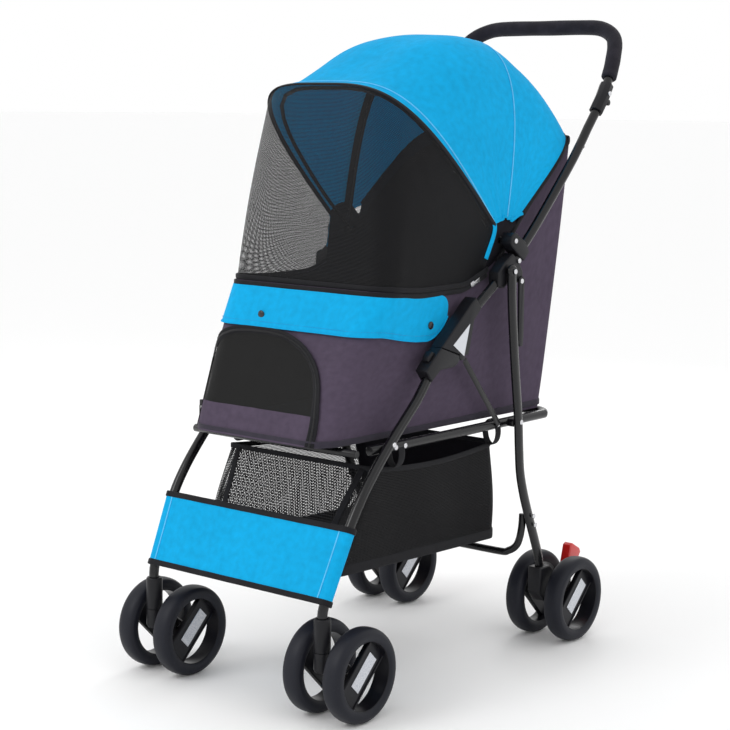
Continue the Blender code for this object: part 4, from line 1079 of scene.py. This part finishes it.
pull_place = wall_point(-0.1480, 0.15, 0.0045)
door_pull = pull_tab("door_zipper_pull", pull_place, (0, 0, -1),
                     wall_point(-0.1480, 0.15, 0.02) - pull_place, zip_black, 0.024)
on_seat(door_pull)
pull_place = wall_point(0.352, 0.978, 0.0045)
rim_pull = pull_tab("rim_zipper_pull", pull_place, wall_point(0.385, 0.99) - wall_point(0.345, 0.985),
                    wall_point(0.352, 0.978, 0.02) - pull_place, rivet_steel, 0.017)
on_seat(rim_pull)


# ---- Front flap --------------------------------------------------------------------------------
# A blue cloth flap hangs round the nose below the rim zipper. Its ends are round, a line of
# stitches runs along its edge, and three black snaps hold it down.
# The blue cloth carries a painted glow: it emits light in its own colour, standing in for light through the
# cloth.
blue_cloth = woven("blue_oxford", (0.0015, 0.275, 0.530), 0.85, sheen=0.0, faded=1.10, painted_glow=0.26)
FLAP_END = 0.3063


def flap_level(along, part):
    """Level on the flap, 0 at its lower edge and 1 under the zipper, with its rounded end."""
    lower = float(np.interp(abs(along), [0, 0.16, 0.245, 0.2704], [0.700, 0.700, 0.652, 0.645]))
    upper = 0.952
    reach = (FLAP_END - abs(along)) / 0.038
    if reach < 1:
        half = math.sqrt(max(0.0, 1 - (1 - reach) ** 2))
        middle = (lower + upper) / 2
        lower, upper = middle + (lower - middle) * half, middle + (upper - middle) * half
    return lower + (upper - lower) * part


flap_arcs = [FLAP_END * math.sin(math.pi / 2 * k / 120) for k in range(-120, 121)]
flap_rows = []
for i in range(17):
    hang = 0.0030 + 0.0022 * (1 - i / 16)
    flap_rows.append([wall_point(s, flap_level(s, i / 16), hang + 0.0006 * math.sin(s * 60 + i * 0.2))
                      for s in flap_arcs])
flap = cloth_sheet("front_flap", flap_rows, blue_cloth)
on_seat(flap)
flap_edge = [(s, flap_level(s, 0.0)) for s in flap_arcs]
edge = wall_strip("flap_edge", flap_edge, 0.0012, 0.0010, blue_cloth, 0.0050)
on_seat(edge)
snap_black = skinned("snap_black", (0.012, 0.012, 0.014), (0.05, 0.05, 0.05), 0.25, 900, 0.05)
spots = []
for s, level in ((-0.2684, 0.75), (-0.0537, 0.775), (0.2684, 0.75)):
    place = wall_point(s, level, 0.0052)
    spots.append((place, wall_point(s, level, 0.02) - place, (0, 0, 1)))
snaps = gathers(fixings("flap_snaps", spots, (0.0125, 0.0125, 0.0040), snap_black, "seat"))
blue_thread = woven("blue_thread", (0.010, 0.20, 0.45), 0.7)
STITCH_PITCH, SEAM_PART, SEAM_OUT = 0.0032, 0.12, 0.0054
spots = []
for k in range(-92, 93):
    s = k * STITCH_PITCH
    level, next_level = flap_level(s, SEAM_PART), flap_level(s + 0.002, SEAM_PART)
    place = wall_point(s, level, SEAM_OUT)
    spots.append((place, wall_point(s, level, 0.02) - place,
                  wall_point(s + 0.002, next_level, SEAM_OUT) - place))
stitches = gathers(fixings("flap_stitches", spots, (0.0024, 0.0006, 0.0005), blue_thread, "seat"))


# ---- Floor board -------------------------------------------------------------------------------
# A stiff board in a dark cloth sleeve lies on the tub's floor and spreads the animal's weight.
board_cloth = skinned("board_sleeve", (0.030, 0.027, 0.032), (0.05, 0.05, 0.05), 0.85, 1300, 0.5)
moulding("floor_board", "cabin_floor_board", board_cloth, "seat", 0.0015)


# ---- Canopy ------------------------------------------------------------------------------------
# One piece of blue cloth is stretched over two steel bows that turn on the canopy brackets. Its
# front and rear edges are bound in black, and the middle bow runs in a black sleeve inside.
PIVOT = np.array((0.0, 0.0509, 0.6692))
CANOPY_HALF, CANOPY_FOOT = 0.1660, 0.0330
ARCHES = [(-52, 0.272, 7.0), (-42, 0.281, 5.6), (-34, 0.290, 4.8), (-22, 0.303, 3.9), (-10, 0.3175, 3.4),
          (10, 0.3165, 3.5), (28, 0.311, 3.6), (40, 0.322, 3.7), (47, 0.347, 3.8)]
ARCH_TABLE = np.array(curve_through(ARCHES, 12))


def arch(lean, count, foot=CANOPY_FOOT, inset=0.0):
    """Evenly spaced points over the canopy at one lean from upright, forwards positive."""
    height = float(np.interp(lean, ARCH_TABLE[:, 0], ARCH_TABLE[:, 1])) - inset
    power = float(np.interp(lean, ARCH_TABLE[:, 0], ARCH_TABLE[:, 2]))
    back = math.radians(-lean)
    line = []
    for k in range(-240, 241):
        turn = math.radians(k * 90 / 240)
        rise = height * abs(math.cos(turn)) ** (2 / power)
        side = (CANOPY_HALF - inset) * abs(math.sin(turn)) ** (2 / power)
        side += (CANOPY_HALF - inset - side) * max(0.0, 1.0 - rise / 0.10) ** 2
        if rise >= foot:
            line.append(PIVOT + np.array((math.copysign(side, turn), rise * math.sin(back),
                                          rise * math.cos(back))))
    return spaced(line, count)


LEANS = [47.0 - 98.5 * k / 56 for k in range(57)]
COLUMNS = 101
canopy_rows = []
for lean in LEANS:
    row = arch(lean, COLUMNS)
    pull = math.sin(math.pi * min(1.0, max(0.0, (lean + 51.5) / 41.5))) if lean < -10 else \
        math.sin(math.pi * (lean + 10) / 57.0)
    ripples = []
    for k, p in enumerate(row):
        across = abs(k / (COLUMNS - 1) * 2 - 1)
        wave = 0.0016 * pull * math.sin(lean * 0.42) * across ** 2
        wave += 0.0010 * pull * math.sin(k * 0.55 + lean * 0.05) * (1 - across)
        ripples.append(p + (p - PIVOT - np.array((p[0] * 0.3, 0, 0))) * wave / 0.3)
    canopy_rows.append(ripples)
canopy = cloth_sheet("canopy_cloth", canopy_rows, blue_cloth)
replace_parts(canopy, "canopy")


def with_canopy(piece):
    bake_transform(piece)
    return piece


with_canopy(canopy)


def arch_strip(name, lean, half_width, half_thick, material, inset=0.0):
    """Tape along one arch of the canopy, lying in its surface."""
    line = arch(lean, 140, inset=inset)
    near = arch(lean - 1.5, 140, inset=inset)
    facing = []
    for p, q, a, b in zip(line, near, [line[0]] + line[:-1], line[1:] + [line[-1]]):
        normal = np.cross(b - a, q - p)
        facing.append(normal if normal @ (p - PIVOT) > 0 else -normal)
    return strip(name, line, facing, half_width, half_thick, material)


front_binding = settle(arch_strip("canopy_front_binding", 46.6, 0.0040, 0.0014, black_tape), "canopy_front")
rear_binding = settle(arch_strip("canopy_rear_binding", -51.3, 0.0035, 0.0012, black_tape), "handle_frame")
settle(arch_strip("middle_bow_sleeve", -10.0, 0.0085, 0.0012, black_tape, 0.0060), "canopy_middle")
skirt_top = arch(-51.0, COLUMNS, inset=0.002)
skirt_rows = [[p + np.array((-p[0] * 0.08, -0.024, -0.026)) * (i / 6) for p in skirt_top] for i in range(7)]
skirt = settle(cloth_sheet("canopy_rear_skirt", skirt_rows, lining_and_shade_cloth), "handle_frame")
for side, sign in SIDES:
    foot = arch(45.5, COLUMNS)[0 if sign < 0 else -1]
    tail_line = spaced(curve_through([foot + np.array((0, -0.006, 0.012)),
                                      foot + np.array((0, -0.002, -0.010)),
                                      np.array((sign * 0.1610, 0.0100, 0.6420))], 10), 24)
    settle(strip("canopy_tail_" + side, tail_line, [(sign, 0, 0)] * 24, 0.0050, 0.0010, blue_cloth),
           "handle_frame")
for side, sign in SIDES:
    rows = []
    for i in range(9):
        row = []
        for k in range(25):
            lean = math.radians(44 - 96 * k / 24)
            above = PIVOT + np.array((sign * 0.1635, -0.0450 * math.sin(lean), 0.0450 * math.cos(lean)))
            y = -0.004 + 0.100 * k / 24
            below = np.array((sign * 0.1535, y, float(np.interp(y, EDGE_Y, EDGE_Z)) - 0.006))
            row.append(above + (below - above) * i / 8)
        rows.append(row)
    gusset = cloth_sheet("canopy_gusset_" + side, rows, lining_and_shade_cloth)
    settle(gusset, "handle_frame")
seam_blue = woven("seam_blue", (0.09, 0.47, 0.78), 0.75)
for label, lean in (("front", 43.4), ("middle", -10.0)):
    seam = arch_strip("canopy_seam_" + label, lean, 0.0011, 0.0006, seam_blue, -0.0006)
    with_canopy(seam)
for side, sign in SIDES:
    line = [row[0 if sign < 0 else -1] for row in canopy_rows]
    lip = strip("canopy_side_edge_" + side, line, [(sign, 0, 0)] * len(line), 0.0026, 0.0010, blue_cloth)
    with_canopy(lip)
for name, body in (("front_bow", "canopy_front"), ("middle_bow", "canopy_middle")):
    moulding(name, name + "_rod", black_coat, body, 0.0003)


# ---- Canopy screen -----------------------------------------------------------------------------
# A fine black net closes the cabin's front between the front bow and the rim zipper.
screen_net = netting("screen_net", (0.008, 0.008, 0.009), 0.0017, 0.64, 0.5)
SCREEN_COLUMNS, SCREEN_REACH, BELLY = 121, 0.388, 0.009
screen_top = [p + np.array((0, -0.0008, -0.0008)) for p in arch(46.8, SCREEN_COLUMNS, 0.030)]
rim_line = spaced([wall_point(SCREEN_REACH * (k / 120 - 1), 1.0, 0.0008) for k in range(241)],
                  SCREEN_COLUMNS)
screen_rows = []
for i in range(41):
    level = i / 40
    row = []
    for k in range(SCREEN_COLUMNS):
        p = screen_top[k] * (1 - level) + rim_line[k] * level
        belly = BELLY * math.sin(math.pi * level) * math.sin(math.pi * k / (SCREEN_COLUMNS - 1))
        row.append(p + np.array((0, -belly, 0)))
    screen_rows.append(row)
screen = settle(cloth_sheet("canopy_screen_net", screen_rows, screen_net), "canopy_front",
                "screen")
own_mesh(screen)


# ---- Basket ------------------------------------------------------------------------------------
# The basket is a net bag between the legs, open at the top. Its front is a coarse bright net, its
# sides are dense net, and black cloth binds its edges and bottom. Webbing loops hang it from the rails.
coarse_net = netting("basket_front_net", (0.006, 0.006, 0.007), 0.0046, 0.74)
dense_net = netting("basket_side_net", (0.004, 0.004, 0.005), 0.0030, 0.50)
basket_low = plan_outline(-0.3270, 0.1000, 0.1380, 0.1380, 0.030, 0.030)
basket_high = plan_outline(-0.2430, 0.0650, 0.1500, 0.1500, 0.012, 0.020)
basket_mid = (basket_low + basket_high) / 2
basket_travel = distances(basket_mid)
BASKET_HALF = float(basket_travel[-1])


def basket_point(along, level, out=0.0):
    """Point of the basket's wall, its cloth hanging slack between foot and mouth."""
    along = (along + BASKET_HALF) % (2 * BASKET_HALF) - BASKET_HALF
    place = np.interp(abs(along), basket_travel, np.arange(len(basket_travel)))
    (x0, y0), (x1, y1) = [[np.interp(place, np.arange(len(basket_travel)), plan[:, k]) for k in range(2)]
                          for plan in (basket_low, basket_high)]
    step = basket_mid[min(int(place) + 1, len(basket_travel) - 1)] - basket_mid[max(int(place) - 1, 0)]
    size = math.hypot(*step)
    slack = 0.0035 * math.sin(math.pi * level)
    slack += 0.0012 * math.sin(along * 40 + level * 3) * math.sin(math.pi * level)
    out += slack - 0.004
    foot = 0.1830 + 0.012 * (0.10 - y0) / 0.43
    mouth = 0.3470 - 0.010 * math.sin(math.pi * min(1.0, max(0.0, (y1 + 0.243) / 0.308)))
    x = x0 + (x1 - x0) * level + step[1] / size * out
    y = y0 + (y1 - y0) * level - step[0] / size * out
    return np.array((math.copysign(x, along), y, foot + (mouth - foot) * level))


basket_arcs = [-BASKET_HALF + 2 * BASKET_HALF * k / 320 for k in range(320)]
basket_rows = [[basket_point(s, i / 40) for s in basket_arcs] for i in range(41)]
PANEL = 0.112
REAR_PANEL = BASKET_HALF - 0.145
cell_arcs = [abs(s + BASKET_HALF / 320) for s in basket_arcs]
front_net = cloth_sheet("basket_front_panel", basket_rows, coarse_net, True,
                        lambda i, k: cell_arcs[k] < PANEL)
side_net = cloth_sheet("basket_side_panel", basket_rows, dense_net, True,
                       lambda i, k: PANEL <= cell_arcs[k] < REAR_PANEL)
rear_cloth = cloth_sheet("basket_rear_panel", basket_rows, lining_and_shade_cloth, True,
                         lambda i, k: cell_arcs[k] >= REAR_PANEL)
BOTTOM_Y, BOTTOM_SAG = -0.11, 0.0035
bottom_rows = []
for i in range(13):
    t = i / 12
    row = []
    for x, y, z in (basket_point(s, 0.0) for s in basket_arcs[::4]):
        row.append(np.array((x * (1 - t), y * (1 - t) + BOTTOM_Y * t, z - BOTTOM_SAG * (1 - t) * t * 4)))
    bottom_rows.append(row)
bottom = cloth_sheet("basket_bottom", bottom_rows, lining_and_shade_cloth, True)


def basket_strip(name, places, half_width, half_thick, out=0.0012, closed=False):
    line = [basket_point(s, l, out) for s, l in places]
    facing = [basket_point(s, l, out + 0.01) - p for (s, l), p in zip(places, line)]
    return strip(name, line, facing, half_width, half_thick, black_tape, closed)


basket_trim = [basket_strip("basket_mouth_binding", [(s, 0.985) for s in basket_arcs], 0.0040, 0.0012,
                            closed=True),
               basket_strip("basket_foot_band", [(s, 0.045) for s in basket_arcs], 0.0080, 0.0008,
                            closed=True)]
LOOP_Z = 0.3665
for side, sign in SIDES:
    seam_places = [(sign * PANEL, 0.02 + 0.96 * k / 40) for k in range(41)]
    basket_trim.append(basket_strip("basket_front_seam_" + side, seam_places, 0.0055, 0.0009))
    for number, y in enumerate((-0.205, 0.040)):
        loop = []
        for k in range(32):
            turn = 2 * math.pi * k / 32
            loop.append((sign * (RAIL_X - 0.0040 + 0.0130 * math.sin(turn) * 0.95),
                         y, LOOP_Z + 0.0205 * math.cos(turn)))
        facing = [(p[0] - sign * RAIL_X, 0, p[2] - LOOP_Z) for p in loop]
        hanger = strip("basket_loop_%s_%d" % (side, number), loop, facing, 0.0075, 0.0008, black_tape, True)
        settle(hanger, "seat")
for piece in [front_net, side_net, rear_cloth, bottom] + basket_trim:
    settle(piece, "rear_frame")
    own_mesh(piece)
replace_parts(side_net, "basket")


# ---- Apron -------------------------------------------------------------------------------------
# A blue cloth panel between the front legs. Its ends wrap round the legs and are sewn down, and
# its upper and lower edges are bound in black.
APRON_TOP, APRON_FOOT = np.array((-0.3330, 0.2770)), np.array((-0.3800, 0.1740))
slope = (APRON_TOP - APRON_FOOT) / np.linalg.norm(APRON_TOP - APRON_FOOT)
ahead = np.array((-slope[1], slope[0]))


def apron_point(across, level, out=0.0):
    """Point of the apron: -1 to 1 between the legs' middles, wrapping round the tubes beyond them."""
    low, high = LEG_FOOT_X + 0.001, FRAME_X
    track = low + (high - low) * level
    stand = 0.0100 + out
    beyond = abs(across) - 1.0
    if beyond <= 0:
        x, lift = across * track, stand - 0.0020 * math.sin(math.pi * level) * math.cos(across * math.pi / 2)
        lift += 0.0007 * math.sin(across * 17 + level * 2)
    else:
        turn = min(beyond / 0.16, 1.0) * math.radians(170)
        x = math.copysign(track + stand * math.sin(turn) * 0.98, across)
        lift = stand * math.cos(turn)
    y, z = APRON_FOOT + slope * np.linalg.norm(APRON_TOP - APRON_FOOT) * level + ahead * lift
    return np.array((x, y, z))


apron_across = [-1.16 + 0.16 * k / 12 for k in range(12)] + [-1 + 2 * k / 80 for k in range(81)] + \
    [1 + 0.16 * (k + 1) / 12 for k in range(12)]
apron_rows = [[apron_point(a, i / 24) for a in apron_across] for i in range(25)]
apron = cloth_sheet("leg_apron", apron_rows, blue_cloth)
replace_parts(apron, "apron")
apron_trim = []
for label, level in (("upper", 0.975), ("lower", 0.025)):
    line = [apron_point(a, level, 0.0006) for a in apron_across]
    facing = [apron_point(a, level, 0.0106) - p for a, p in zip(apron_across, line)]
    apron_trim.append(strip("apron_%s_binding" % label, line, facing, 0.0044, 0.0011, black_tape))
SEAM_AT = 0.955
for side, sign in SIDES:
    line = [apron_point(sign * SEAM_AT, k / 30, 0.0004) for k in range(31)]
    facing = [apron_point(sign * SEAM_AT, k / 30, 0.0104) - p for k, p in enumerate(line)]
    apron_trim.append(strip("apron_seam_" + side, line, facing, 0.0010, 0.0006, seam_blue))
for piece in [apron] + apron_trim:
    settle(piece, "front_frame")
